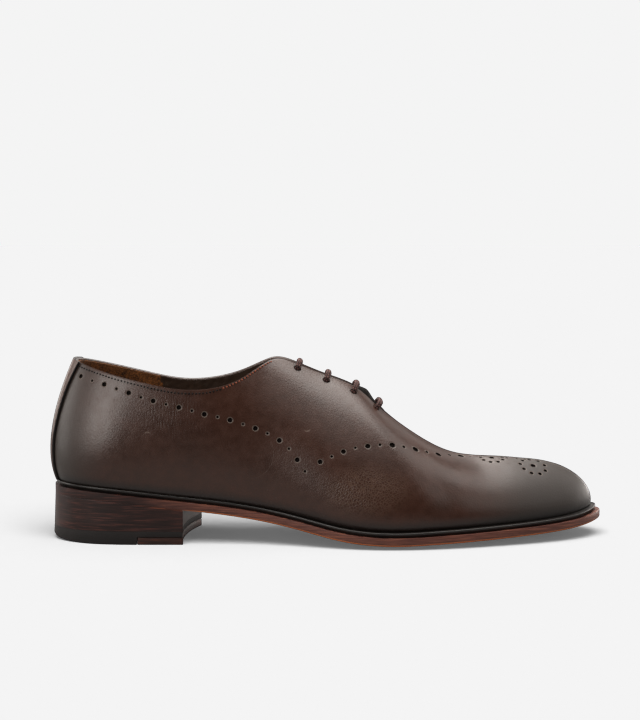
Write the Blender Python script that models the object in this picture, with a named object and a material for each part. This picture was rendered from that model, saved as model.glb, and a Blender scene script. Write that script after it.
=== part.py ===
# A man's right dress shoe: an oxford cut from one piece of leather, with a strip up its back,
# four pairs of punched eyelets, a welted leather sole and a stacked heel.
# X runs to the toe, -Y to the outer side and Z up. Sizes are in millimetres until a mesh is made.

import math

import bmesh
import bpy
import numpy as np
from mathutils import Matrix, Vector

MM = 0.001
GAP = 0.3  # left between pieces that touch

# Driving sizes
WALL = 2.0  # upper leather with its lining
WELT = 2.3  # thickness of the welt
SOLE_EDGE = 4.4  # thickness of the outsole at its edge
WELT_LAP = 2.2  # how far the welt reaches in under the upper
WELT_SET = 0.7  # how far its edge stands back from the sole's
WELT_TOE_SET = 1.7  # and how much more it does at the toe's tip
WELT_TOE_LENGTH = 26.0  # along the edge to each side of the tip
INSOLE_INSET = 2.6  # from the feather line to the insole's edge
INSOLE_RISE = 0.8  # insole above the feather line
STRIP = 1.3  # thickness of the back strip
TONGUE = 1.8  # thickness of the tongue
TONGUE_CLEAR = 0.7  # from the upper's inner wall to the tongue
TONGUE_LOW = 0.62  # how far down the ribs the tongue's sides reach, 1 being the facing edge
TONGUE_ENDS = (7.45, 13.25)  # the sections between which the tongue lies
LACE_RADIUS = 1.65
LACE_LIFT = 2.0  # from the leather to the middle of a lace bar
LACE_ARCH = 0.3  # extra height of a bar over the middle of the throat
EYELET_RADIUS = 2.0
EYELET_SETS = (3.5, 4.6, 5.4, 5.6)  # from the facing edge to the middle of the eyelets, for each pair
EYELET_STATIONS = (-15.6, 0.2, 15.4, 27.4)  # X of the facing edge beside each pair
RUBBER = 7.0  # height of the top lift
LEATHER_LIFT = 3.5  # height of each level leather lift
LEVEL_LIFTS = 2  # under the wedge that takes up the slope of the sole
TIP_LENGTH = 25.0  # leather tip let into the front of the top lift
TIP_HEIGHT = 3.8
STEP_SLANT = 0.3  # the face between rubber and tip leans by this
BACK_ROLL = 3.8  # how far the rubber rolls up at the back
BACK_ROLL_LENGTH = 45.0
BACK_ROLL_CURVE = 2.4  # power that rounds it
HEEL_FLARE = 0.9  # how far the heel spreads from the sole to the floor
BREAST_OUTER = -78.0  # X of the heel's front face at the outer side
BREAST_INNER = -72.0  # and at the inner side
BREAST_HOLLOW = 3.5  # how far its middle curves back
CENTRE = (0.55, -0.18)  # moves the tables so that the origin is under the middle of the shoe

# The last, a row for each section from the heel to the toe. foot_x, lateral, medial and foot_z are
# the feather line, where the upper meets the welt, on the outer and the inner side.
# welt is how far the sole stands out from it, crown how far the sole's middle bulges down,
# and arch_out how much more the inner wall bulges over the waist.
FOOT_COLUMNS = ("foot_x", "lateral", "medial", "foot_z", "welt", "crown", "arch_out")
FOOT = (
    ("heel back", -148.6, 0.0, 0.0, 32.4, 1.8, 0.0, 0.0),
    ("heel turn", -142.4, -17.5, 17.4, 32.1, 1.9, 0.0, 0.0),
    ("counter", -127.0, -26.8, 26.4, 31.0, 2.0, 0.0, 0.0),
    ("seat", -106.0, -29.6, 29.0, 29.0, 2.2, 0.0, 0.0),
    ("ankle", -83.0, -29.8, 28.2, 26.4, 2.2, 0.0, 1.5),
    ("heel breast", -58.0, -30.0, 26.0, 23.6, 2.4, 0.8, 3.0),
    ("waist", -34.0, -32.2, 25.0, 20.1, 2.8, 1.4, 4.0),
    ("facing top", -12.0, -38.0, 29.0, 15.9, 3.6, 2.0, 3.5),
    ("first eyelet", 8.0, -43.6, 36.0, 11.6, 4.4, 2.5, 2.0),
    ("second eyelet", 26.0, -46.4, 42.8, 9.6, 4.8, 2.7, 0.5),
    ("third eyelet", 43.0, -46.2, 46.4, 9.4, 5.0, 2.7, 0.0),
    ("fourth eyelet", 56.0, -44.4, 46.8, 9.9, 5.0, 2.7, 0.0),
    ("throat end", 69.0, -41.4, 45.6, 10.4, 5.0, 2.6, 0.0),
    ("vamp", 83.0, -37.2, 43.0, 11.0, 5.0, 2.5, 0.0),
    ("toe break", 98.0, -31.8, 39.2, 11.7, 5.0, 2.3, 0.0),
    ("toe box", 113.0, -25.6, 34.4, 12.5, 5.1, 2.0, 0.0),
    ("toe crown", 127.0, -18.0, 28.4, 13.5, 5.1, 1.6, 0.0),
    ("toe turn", 139.0, -8.6, 20.6, 15.0, 5.1, 1.0, 0.0),
    ("toe tip", 146.8, 6.0, 6.0, 16.8, 5.1, 0.0, 0.0),
)

# The upper's ribs, a row for each of the same sections. Each rib climbs from the feather line to the
# top line: the collar, then the facing edge, then the ridge over the toes. top_half is half the width
# of the opening there and inner_rise how much higher the inner side of the collar is. bearing is the
# way the rib faces, in degrees, from straight out to the side (0) towards the toe (90). low_out and
# low_up, high_out and high_down are the curve's two handles.
RIB_COLUMNS = (
    "top_x", "top_y", "top_half", "top_z", "inner_rise", "bearing",
    "low_out", "low_up", "high_out", "high_down",
)
RIBS = (
    ("heel back", -138.6, 0.0, 0.0, 97.9, 0.0, -90.0, 6.0, 14.0, 12.5, 28.0),
    ("heel turn", -134.6, 0.0, 8.8, 96.3, 1.2, -52.0, 6.0, 14.0, 11.5, 28.0),
    ("counter", -121.0, 0.0, 17.8, 92.2, 1.8, -20.0, 5.0, 14.0, 9.0, 26.0),
    ("seat", -103.0, 0.0, 23.6, 87.8, 1.5, -5.0, 4.5, 14.0, 6.5, 24.0),
    ("ankle", -82.0, 0.0, 26.4, 83.8, 1.2, 0.0, 4.5, 14.0, 5.5, 22.0),
    ("heel breast", -61.0, 0.0, 25.8, 84.4, 1.8, 0.0, 5.0, 14.0, 6.0, 22.0),
    ("waist", -45.5, 0.0, 20.8, 89.8, 1.3, 0.0, 6.0, 15.0, 9.0, 21.0),
    ("facing top", -33.5, 0.0, 12.0, 97.0, 0.0, 0.0, 6.0, 16.0, 13.0, 16.0),
    ("first eyelet", -22.0, 0.0, 6.6, 97.7, 0.0, 0.0, 5.5, 17.0, 16.0, 12.0),
    ("second eyelet", -3.0, 0.0, 5.2, 90.2, 0.0, 0.0, 5.0, 18.0, 18.0, 9.0),
    ("third eyelet", 16.0, 0.0, 5.4, 82.4, 0.0, 4.0, 5.0, 18.0, 20.0, 8.0),
    ("fourth eyelet", 27.0, 0.0, 5.4, 73.0, 0.0, 8.0, 4.5, 18.0, 22.0, 6.5),
    ("throat end", 38.5, 0.0, 0.0, 63.3, 0.0, 14.0, 4.0, 18.0, 23.0, 4.5),
    ("vamp", 54.0, 0.2, 0.0, 52.6, 0.0, 20.0, 3.5, 18.0, 22.0, 4.0),
    ("toe break", 72.0, 0.6, 0.0, 45.4, 0.0, 26.0, 3.0, 17.0, 19.0, 2.2),
    ("toe box", 90.0, 1.2, 0.0, 43.9, 0.0, 30.0, 2.5, 15.0, 17.0, 0.8),
    ("toe crown", 106.0, 2.0, 0.0, 42.7, 0.0, 38.0, 2.0, 13.0, 15.0, 0.9),
    ("toe turn", 118.0, 2.8, 0.0, 41.4, 0.0, 54.0, 1.8, 11.5, 12.5, 1.8),
    ("toe tip", 127.0, 3.6, 0.0, 39.2, 0.0, 90.0, 1.6, 10.0, 10.8, 3.6),
)
COUNTER = 2  # the row of the heel counter
WAIST = 6  # the row of the waist, in front of the heel
FACING_TOP = 7  # the row where the collar turns down into the facing
THROAT_END = 12  # the row where the two facing edges meet

# How far the tongue crowns up between the facing edges, by section: it swells between the laces
TONGUE_CROWN = (
    (7.4, 1.4), (8.3, 2.0), (9.95, 2.8), (10.35, 5.2), (10.7, 7.0), (11.1, 4.4), (11.5, 4.4),
    (11.7, 3.0), (12.0, 0.0),
)
TONGUE_ROUND = 0.2  # share of the crown added halfway to each facing edge

# Half the width of the back strip, from the welt to the collar
STRIP_HALF = ((0.0, 8.0), (0.25, 10.3), (0.6, 10.0), (1.0, 7.8))
STRIP_FOOT = 0.02  # rise at which it starts, clear of the welt

STEPS = 3  # columns of faces between two sections of the upper
RIB_FACES = 11  # faces up a rib
SOLE_COLUMNS = 8
INSOLE_STEPS = 2
INSOLE_COLUMNS = 5
HEEL_ROWS = 12
HEEL_COLUMNS = 5
STRIP_COLUMNS = 6
TONGUE_ROWS = 24
TONGUE_COLUMNS = 6
EYELET_SIDES = 12
LACE_POINTS = 3  # on each side of the throat
SHARP_ANGLE = 40  # degrees past which an edge is shaded sharp
MERGE = 0.001  # points closer than this are made one
NUDGE = 0.1  # step along the way that gives a direction
RISE_NUDGE = 0.004  # and the step up a rib
SCAN = 400  # places tried when a table is read backwards
EYELET_SCAN = (30.0, 241)  # way each side of the facing edge searched for an eyelet, and places tried
EYELET_RISES = (0.75, 126)  # lowest rise searched, and places tried

COLOURS = {
    "upper": ((0.043, 0.024, 0.017), 0.42),
    "back_strip": ((0.050, 0.030, 0.023), 0.45),
    "tongue": ((0.012, 0.009, 0.008), 0.60),
    "insole": ((0.060, 0.030, 0.016), 0.70),
    "welt": ((0.011, 0.010, 0.009), 0.45),
    "outsole": ((0.105, 0.040, 0.026), 0.50),
    "heel_lift": ((0.045, 0.020, 0.017), 0.45),
    "heel_rubber": ((0.017, 0.014, 0.014), 0.65),
    "heel_tip": ((0.070, 0.024, 0.014), 0.50),
    "lace": ((0.145, 0.065, 0.052), 0.80),
}


def spline_slopes(knots, values):
    """Slopes of the smooth closed curve through the rows; knots has one more entry, the way round."""
    count = len(values)
    spans = np.diff(knots)
    rates = (np.roll(values, -1, axis=0) - values) / spans[:, None]
    matrix = np.zeros((count, count))
    right = np.zeros_like(values)
    for i in range(count):
        before, after = spans[i - 1], spans[i]
        matrix[i, i - 1] = after
        matrix[i, i] = 2 * (before + after)
        matrix[i, (i + 1) % count] = before
        right[i] = 3 * (after * rates[i - 1] + before * rates[i])
    return np.linalg.solve(matrix, right)


def build_loop():
    """The closed run of ribs: out along the outer side to the toe and back along the inner side."""
    foot = {name: np.array([row[i + 1] for row in FOOT]) for i, name in enumerate(FOOT_COLUMNS)}
    rib = {name: np.array([row[i + 1] for row in RIBS]) for i, name in enumerate(RIB_COLUMNS)}
    last = len(FOOT) - 1
    order = list(range(last + 1)) + list(range(last - 1, 0, -1))
    inner = np.arange(len(order)) > last
    outer_run = np.hypot(np.diff(foot["foot_x"]), np.diff(foot["lateral"]))
    inner_run = np.hypot(np.diff(foot["foot_x"]), np.diff(foot["medial"]))
    run = (outer_run + inner_run) / 2
    stations = np.concatenate([[0.0], np.cumsum(run)])
    knots = np.concatenate([stations, stations[-1] + np.cumsum(run[::-1])])
    bearing = np.radians(rib["bearing"][order])
    columns = {
        "x": foot["foot_x"][order] + CENTRE[0],
        "y": np.where(inner, foot["medial"][order], foot["lateral"][order]) + CENTRE[1],
        "z": foot["foot_z"][order],
        "welt": foot["welt"][order],
        "crown": foot["crown"][order],
        "out_x": np.sin(bearing),
        "out_y": np.where(inner, np.cos(bearing), -np.cos(bearing)),
        "top_x": rib["top_x"][order] + CENTRE[0],
        "top_y": rib["top_y"][order] + CENTRE[1],
        "top_off": np.where(inner, rib["top_half"][order], -rib["top_half"][order]),
        "top_z": rib["top_z"][order] + np.where(inner, rib["inner_rise"][order], 0.0),
        "low_out": rib["low_out"][order] + np.where(inner, foot["arch_out"][order], 0.0),
        "low_up": rib["low_up"][order],
        "high_out": rib["high_out"][order],
        "high_down": rib["high_down"][order],
    }
    values = np.stack(list(columns.values()), axis=1)
    return stations, knots, list(columns), values, spline_slopes(knots, values)


STATIONS, KNOTS, NAMES, VALUES, SLOPES = build_loop()
TOE = STATIONS[-1]  # the way from the heel to the toe, along the feather line


def columns_at(way):
    """Every column of the tables at these places on the way round, in a dictionary."""
    way = np.mod(np.asarray(way, float), KNOTS[-1])
    i = np.clip(np.searchsorted(KNOTS, way, side="right") - 1, 0, len(VALUES) - 1)
    span = (KNOTS[i + 1] - KNOTS[i])[..., None]
    s = (way - KNOTS[i])[..., None] / span
    j = (i + 1) % len(VALUES)
    blend = VALUES[i] * (1 + 2 * s) * (1 - s) ** 2 + VALUES[j] * s * s * (3 - 2 * s)
    blend = blend + span * (SLOPES[i] * s * (1 - s) ** 2 - SLOPES[j] * s * s * (1 - s))
    found = {name: blend[..., k] for k, name in enumerate(NAMES)}
    length = np.hypot(found["out_x"], found["out_y"])
    found["out_x"] = found["out_x"] / length
    found["out_y"] = found["out_y"] / length
    closed = (way >= STATIONS[THROAT_END]) & (way <= 2 * TOE - STATIONS[THROAT_END])
    outward = np.where(way > TOE, np.maximum(found["top_off"], 0.0), np.minimum(found["top_off"], 0.0))
    found["top_off"] = np.where(closed, 0.0, outward)
    return found


def upper_point(way, rise):
    """A point of the upper's outer skin: way round the feather line, rise from 0 there to 1 on top."""
    way, rise = np.broadcast_arrays(np.asarray(way, float), np.asarray(rise, float))
    c = columns_at(way)
    zero = np.zeros_like(c["x"])
    out = np.stack([c["out_x"], c["out_y"], zero], axis=-1)
    up = np.array([0.0, 0.0, 1.0])
    foot = np.stack([c["x"], c["y"], c["z"]], axis=-1)
    top = np.stack([c["top_x"], c["top_y"] + c["top_off"], c["top_z"]], axis=-1)
    low = foot + out * c["low_out"][..., None] + up * c["low_up"][..., None]
    high = top + out * c["high_out"][..., None] - up * c["high_down"][..., None]
    t = rise[..., None]
    return foot * (1 - t) ** 3 + low * 3 * t * (1 - t) ** 2 + high * 3 * t * t * (1 - t) + top * t**3


def upper_normal(way, rise):
    """The outward direction of the upper's outer surface."""
    way, rise = np.broadcast_arrays(np.asarray(way, float), np.asarray(rise, float))
    low, high = np.maximum(rise - RISE_NUDGE, 0.0), np.minimum(rise + RISE_NUDGE, 1.0)
    along = upper_point(way + NUDGE, rise) - upper_point(way - NUDGE, rise)
    across = upper_point(way, high) - upper_point(way, low)
    normal = np.cross(along, across)
    return normal / np.linalg.norm(normal, axis=-1, keepdims=True)


def edge_point(way, outset):
    """A point in plan at this distance outside the feather line."""
    c = columns_at(way)
    ahead, behind = columns_at(np.asarray(way) + NUDGE), columns_at(np.asarray(way) - NUDGE)
    along = np.stack([ahead["x"] - behind["x"], ahead["y"] - behind["y"]], axis=-1)
    along = along / np.linalg.norm(along, axis=-1, keepdims=True)
    normal = np.stack([along[..., 1], -along[..., 0]], axis=-1)
    outset = np.broadcast_to(outset, c["x"].shape)
    return np.stack([c["x"], c["y"]], axis=-1) + normal * outset[..., None]


def station_of(column, value, first, last):
    """The way along the outer side at which a column reaches a value, between two sections."""
    way = np.linspace(STATIONS[first], STATIONS[last], SCAN)
    return float(np.interp(value, columns_at(way)[column], way))


def spread_stations(first, last, steps):
    """Places along the outer side, with the same number of steps between any two sections."""
    whole = np.arange(len(STATIONS))
    return np.interp(np.linspace(first, last, int(round((last - first) * steps)) + 1), whole, STATIONS)


def add_object(name, mesh, finish):
    colour, roughness = COLOURS[finish]
    material = bpy.data.materials.get(finish) or bpy.data.materials.new(finish)
    material.use_nodes = True
    shader = material.node_tree.nodes["Principled BSDF"]
    shader.inputs["Base Color"].default_value = (*colour, 1.0)
    shader.inputs["Roughness"].default_value = roughness
    shader.inputs["Metallic"].default_value = 0.0
    mesh.materials.append(material)
    obj = bpy.data.objects.new(name, mesh)
    bpy.context.scene.collection.objects.link(obj)
    return obj


def mesh_from(name, points, faces, solid=True):
    """A mesh from an array of points in millimetres, with points that coincide made one."""
    bm = bmesh.new()
    verts = [bm.verts.new(Vector(point) * MM) for point in np.asarray(points).reshape(-1, 3)]
    for face in faces:
        bm.faces.new([verts[i] for i in face])
    bmesh.ops.remove_doubles(bm, verts=bm.verts, dist=MERGE * MM)
    if solid:
        bmesh.ops.recalc_face_normals(bm, faces=bm.faces)
    mesh = bpy.data.meshes.new(name)
    bm.to_mesh(mesh)
    bm.free()
    mesh.shade_smooth()
    mesh.set_sharp_from_angle(angle=math.radians(SHARP_ANGLE))
    return mesh


def grid_solid(name, finish, over, under):
    """A closed piece between two grids of points that match, row by row."""
    rows, cols = over.shape[:2]
    index = np.arange(rows * cols).reshape(rows, cols)
    lower = index + rows * cols
    faces = []
    for i in range(rows - 1):
        for j in range(cols - 1):
            faces.append((index[i, j], index[i + 1, j], index[i + 1, j + 1], index[i, j + 1]))
            faces.append((lower[i, j], lower[i, j + 1], lower[i + 1, j + 1], lower[i + 1, j]))
    rim = [*index[0, :], *index[1:, -1], *index[-1, -2::-1], *index[-2:0:-1, 0]]
    for a, b in zip(rim, rim[1:] + rim[:1]):
        faces.append((a, b, b + rows * cols, a + rows * cols))
    points = np.concatenate([over.reshape(-1, 3), under.reshape(-1, 3)])
    return add_object(name, mesh_from(name, points, faces), finish)


def across_sole(way, outset, share):
    """A point in plan on the line across the shoe, from its outer edge (share 0) to its inner (1)."""
    outer = edge_point(way, outset)
    inner = edge_point(2 * TOE - np.asarray(way), outset)
    return outer * (1 - share[..., None]) + inner * share[..., None]


def sole_bottom(way):
    """Height of the outsole's lower edge."""
    return columns_at(way)["z"] - 2 * GAP - WELT - SOLE_EDGE


def with_height(plan, height):
    return np.concatenate([plan, np.broadcast_to(height, plan.shape[:2])[..., None]], axis=-1)


def make_upper():
    way = spread_stations(0, len(FOOT) - 1, STEPS)
    way = np.concatenate([way, 2 * TOE - way[-2:0:-1]])
    rise = np.linspace(0.0, 1.0, RIB_FACES + 1)
    points = upper_point(way[:, None], rise[None, :])
    count, rows = len(way), len(rise)
    index = np.arange(count * rows).reshape(count, rows)
    faces = []
    for i in range(count):
        k = (i + 1) % count
        for j in range(rows - 1):
            faces.append((index[i, j], index[k, j], index[k, j + 1], index[i, j + 1]))
    upper = add_object("upper", mesh_from("upper", points, faces, solid=False), "upper")
    wall = upper.modifiers.new("wall", "SOLIDIFY")
    wall.thickness = WALL * MM
    wall.offset = -1.0
    wall.use_even_offset = True
    punches = make_eyelet_punches()
    holes = upper.modifiers.new("eyelets", "BOOLEAN")
    holes.operation = "DIFFERENCE"
    holes.solver = "EXACT"
    holes.object = punches


def eyelet_places():
    """For each eyelet, the outer one of a pair first: the way of the facing edge beside it, and its own
    way and rise, square to that edge as seen from the side."""
    places = []
    for x, set_back in zip(EYELET_STATIONS, EYELET_SETS):
        outer = station_of("top_x", x + CENTRE[0], FACING_TOP, THROAT_END)
        for edge in (outer, 2 * TOE - outer):
            along = upper_point(edge + NUDGE, 1.0) - upper_point(edge - NUDGE, 1.0)
            along = along * np.array([1.0, 0.0, 1.0]) / np.hypot(along[0], along[2])
            ways = edge + np.linspace(-EYELET_SCAN[0], *EYELET_SCAN)[:, None]
            rises = np.linspace(EYELET_RISES[0], 1.0, EYELET_RISES[1])[None, :]
            reach = upper_point(ways, rises) - upper_point(edge, 1.0)
            miss = np.abs(np.linalg.norm(reach, axis=-1) - set_back) + np.abs(reach @ along)
            i, j = np.unravel_index(miss.argmin(), miss.shape)
            places.append((edge, ways[i, 0], rises[0, j]))
    return places


def make_eyelet_punches():
    bm = bmesh.new()
    for _, way, rise in eyelet_places():
        centre, normal = upper_point(way, rise), upper_normal(way, rise)
        turn = Vector((0, 0, 1)).rotation_difference(Vector(normal)).to_matrix().to_4x4()
        place = Matrix.Translation(Vector(centre) * MM) @ turn
        bmesh.ops.create_cone(
            bm, cap_ends=True, segments=EYELET_SIDES, radius1=EYELET_RADIUS * MM, radius2=EYELET_RADIUS * MM,
            depth=4 * WALL * MM, matrix=place,
        )
    mesh = bpy.data.meshes.new("eyelet_punches")
    bm.to_mesh(mesh)
    bm.free()
    punches = bpy.data.objects.new("eyelet_punches", mesh)
    bpy.context.scene.collection.objects.link(punches)
    punches.hide_render = True
    punches.display_type = "WIRE"
    return punches


def make_back_strip():
    rise = np.linspace(STRIP_FOOT, 1.0, RIB_FACES)
    heights, halves = zip(*STRIP_HALF)
    half = np.interp(rise, heights, halves)
    step = upper_point(NUDGE, rise) - upper_point(-NUDGE, rise)
    speed = np.linalg.norm(step, axis=-1) / (2 * NUDGE)
    share = np.linspace(-1.0, 1.0, STRIP_COLUMNS + 1)
    way = share[:, None] * (half / speed)[None, :]
    rise = np.broadcast_to(rise, way.shape)
    skin, normal = upper_point(way, rise), upper_normal(way, rise)
    over = skin + normal * (GAP + STRIP)
    grid_solid("back_strip", "back_strip", over, skin + normal * GAP)


def make_tongue():
    """A tongue that follows the upper's inner wall and crowns up between the facing edges."""
    sections = np.linspace(*TONGUE_ENDS, TONGUE_ROWS)
    way = np.interp(sections, np.arange(len(STATIONS)), STATIONS)
    crown = np.interp(sections, *zip(*TONGUE_CROWN))
    shut = way >= STATIONS[THROAT_END]
    crown[shut] = 0.0
    rise = np.linspace(TONGUE_LOW, 1.0, TONGUE_COLUMNS)
    faces = []
    for depth in (WALL + TONGUE_CLEAR, WALL + TONGUE_CLEAR + TONGUE):
        sides = []
        for side in (way, 2 * TOE - way):
            skin = upper_point(side[:, None], rise[None, :])
            sides.append(skin - upper_normal(side[:, None], rise[None, :]) * depth)
        outer, inner = sides
        middle = (outer[:, -1] + inner[:, -1]) / 2
        outer[shut, -1] = middle[shut]
        inner[shut, -1] = middle[shut]
        middle[:, 2] += crown
        rounded = np.array([0.0, 0.0, TONGUE_ROUND]) * crown[:, None]
        quarter_out = (outer[:, -1] + middle) / 2 + rounded
        quarter_in = (inner[:, -1] + middle) / 2 + rounded
        bridge = np.stack([quarter_out, middle, quarter_in], axis=1)
        faces.append(np.concatenate([outer, bridge, inner[:, ::-1]], axis=1))
    grid_solid("tongue", "tongue", faces[0], faces[1])


def make_welt():
    way = spread_stations(0, len(FOOT) - 1, STEPS)
    way = np.concatenate([way, 2 * TOE - way[-2:0:-1]])
    c = columns_at(way)
    tip = np.clip(1 - np.abs(way - TOE) / WELT_TOE_LENGTH, 0.0, 1.0)
    set_back = WELT_SET + WELT_TOE_SET * tip * tip * (3 - 2 * tip)
    outside, inside = edge_point(way, c["welt"] - set_back), edge_point(way, -WELT_LAP)
    top = c["z"] - GAP
    corners = []
    for plan, height in ((outside, top), (inside, top), (inside, top - WELT), (outside, top - WELT)):
        corners.append(np.concatenate([plan, height[:, None]], axis=1))
    points = np.stack(corners, axis=1)
    count = len(way)
    faces = []
    for i in range(count):
        k = (i + 1) % count
        for a in range(4):
            b = (a + 1) % 4
            faces.append((4 * i + a, 4 * k + a, 4 * k + b, 4 * i + b))
    add_object("welt", mesh_from("welt", points, faces), "welt")


def make_outsole():
    way = spread_stations(0, len(FOOT) - 1, STEPS)
    share = np.linspace(0.0, 1.0, SOLE_COLUMNS + 1)
    ways, shares = np.meshgrid(way, share, indexing="ij")
    c = columns_at(ways)
    plan = across_sole(ways, c["welt"], shares)
    bottom = sole_bottom(ways)
    bulge = c["crown"] * 4 * shares * (1 - shares)
    over = with_height(plan, bottom + SOLE_EDGE)
    grid_solid("outsole", "outsole", over, with_height(plan, np.maximum(bottom - bulge, 0.0)))


def make_insole():
    way = spread_stations(0, len(FOOT) - 1, INSOLE_STEPS)
    share = np.linspace(0.0, 1.0, INSOLE_COLUMNS + 1)
    ways, shares = np.meshgrid(way, share, indexing="ij")
    plan = across_sole(ways, -INSOLE_INSET, shares)
    height = columns_at(ways)["z"]
    under = with_height(plan, height - GAP - WELT)
    grid_solid("insole", "insole", with_height(plan, height + INSOLE_RISE), under)


def heel_plan(first, last, height):
    """A grid in plan over part of the heel at this height: first and last run from 0 at the back to 1
    at the breast."""
    share = np.linspace(0.0, 1.0, HEEL_COLUMNS + 1)
    front = BREAST_OUTER * (1 - share) + BREAST_INNER * share - BREAST_HOLLOW * 4 * share * (1 - share)
    along = np.linspace(0.0, STATIONS[WAIST], SCAN)
    reach = np.interp(front + CENTRE[0], columns_at(along)["x"], along)
    ways = np.linspace(first, last, HEEL_ROWS + 1)[:, None] * reach[None, :]
    flare = HEEL_FLARE * (1 - height / sole_bottom(0.0))
    shares = np.broadcast_to(share, ways.shape)
    return ways, across_sole(ways, columns_at(ways)["welt"] + flare, shares)


def make_heel():
    floor = RUBBER + GAP
    for k in range(LEVEL_LIFTS):
        _, under = heel_plan(0.0, 1.0, floor)
        ceiling = floor + LEATHER_LIFT - GAP
        _, over = heel_plan(0.0, 1.0, ceiling)
        name = f"heel_lift_{k + 1}"
        grid_solid(name, "heel_lift", with_height(over, ceiling), with_height(under, floor))
        floor += LEATHER_LIFT
    ways, under = heel_plan(0.0, 1.0, floor)
    _, over = heel_plan(0.0, 1.0, sole_bottom(0.0))
    over = with_height(over, sole_bottom(ways) - GAP)
    grid_solid(f"heel_lift_{LEVEL_LIFTS + 1}", "heel_lift", over, with_height(under, floor))
    make_top_lift()


def make_top_lift():
    """The rubber top lift, stepped at the front for a leather tip, and that tip."""
    length = station_of("x", BREAST_OUTER + CENTRE[0], COUNTER, WAIST)
    split = 1 - TIP_LENGTH / length
    lean = STEP_SLANT / length
    grids = []
    for height in (RUBBER, 0.0):
        back_ways, back = heel_plan(0.0, split, height)
        _, front = heel_plan(split + lean, 1.0, height)
        grids.append(np.concatenate([back, front[::2]]))
    roll = BACK_ROLL * np.clip(1 - back_ways / BACK_ROLL_LENGTH, 0.0, 1.0) ** BACK_ROLL_CURVE
    bottom = np.concatenate([roll, np.full(front[::2].shape[:2], TIP_HEIGHT + GAP)])
    grid_solid("heel_rubber", "heel_rubber", with_height(grids[0], RUBBER), with_height(grids[1], bottom))
    _, over = heel_plan(split + 2 * lean, 1.0, TIP_HEIGHT)
    _, under = heel_plan(split + 2 * lean, 1.0, 0.0)
    grid_solid("heel_tip", "heel_tip", with_height(over[::2], TIP_HEIGHT), with_height(under[::2], 0.0))


def make_lace_bars():
    places = eyelet_places()
    for pair in range(len(EYELET_STATIONS)):
        ends = []
        for edge, way, rise in places[2 * pair : 2 * pair + 2]:
            ways = np.linspace(way, edge, LACE_POINTS)
            rises = np.linspace(rise, 1.0, LACE_POINTS)
            ends.append(upper_point(ways, rises) + upper_normal(ways, rises) * LACE_LIFT)
        middle = (ends[0][-1] + ends[1][-1]) / 2 + np.array([0.0, 0.0, LACE_ARCH])
        route = [*ends[0], middle, *ends[1][::-1]]
        name = f"lace_bar_{pair + 1}"
        curve = bpy.data.curves.new(name, "CURVE")
        curve.dimensions = "3D"
        curve.bevel_depth = LACE_RADIUS * MM
        curve.bevel_resolution = 2
        curve.use_fill_caps = True
        spline = curve.splines.new("POLY")
        spline.points.add(len(route) - 1)
        for point, place in zip(spline.points, route):
            point.co = (*(Vector(place) * MM), 1.0)
        add_object(name, curve, "lace")


def main():
    for obj in list(bpy.data.objects):
        bpy.data.objects.remove(obj, do_unlink=True)
    make_upper()
    make_back_strip()
    make_tongue()
    make_insole()
    make_welt()
    make_outsole()
    make_heel()
    make_lace_bars()


main()
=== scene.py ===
# Looks of a man's right dress shoe: a one-piece oxford with punched decoration
import math

import bpy
import numpy as np
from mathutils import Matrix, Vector


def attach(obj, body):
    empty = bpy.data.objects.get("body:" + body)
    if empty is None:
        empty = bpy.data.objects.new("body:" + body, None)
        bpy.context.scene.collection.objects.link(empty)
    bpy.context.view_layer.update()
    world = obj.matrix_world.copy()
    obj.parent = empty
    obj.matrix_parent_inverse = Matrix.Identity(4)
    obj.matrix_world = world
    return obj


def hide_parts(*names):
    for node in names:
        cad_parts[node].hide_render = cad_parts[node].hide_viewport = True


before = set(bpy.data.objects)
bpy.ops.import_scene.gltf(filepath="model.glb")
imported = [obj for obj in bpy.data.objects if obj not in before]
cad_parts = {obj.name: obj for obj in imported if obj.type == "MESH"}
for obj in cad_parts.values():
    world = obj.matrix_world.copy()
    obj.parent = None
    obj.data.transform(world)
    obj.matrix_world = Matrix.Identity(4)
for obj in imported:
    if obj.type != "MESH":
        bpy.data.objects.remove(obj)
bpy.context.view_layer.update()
mm = 0.001  # sizes are in millimetres until a mesh is made
xAxis, zAxis = np.array([1.0, 0.0, 0.0]), np.array([0.0, 0.0, 1.0])

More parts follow.
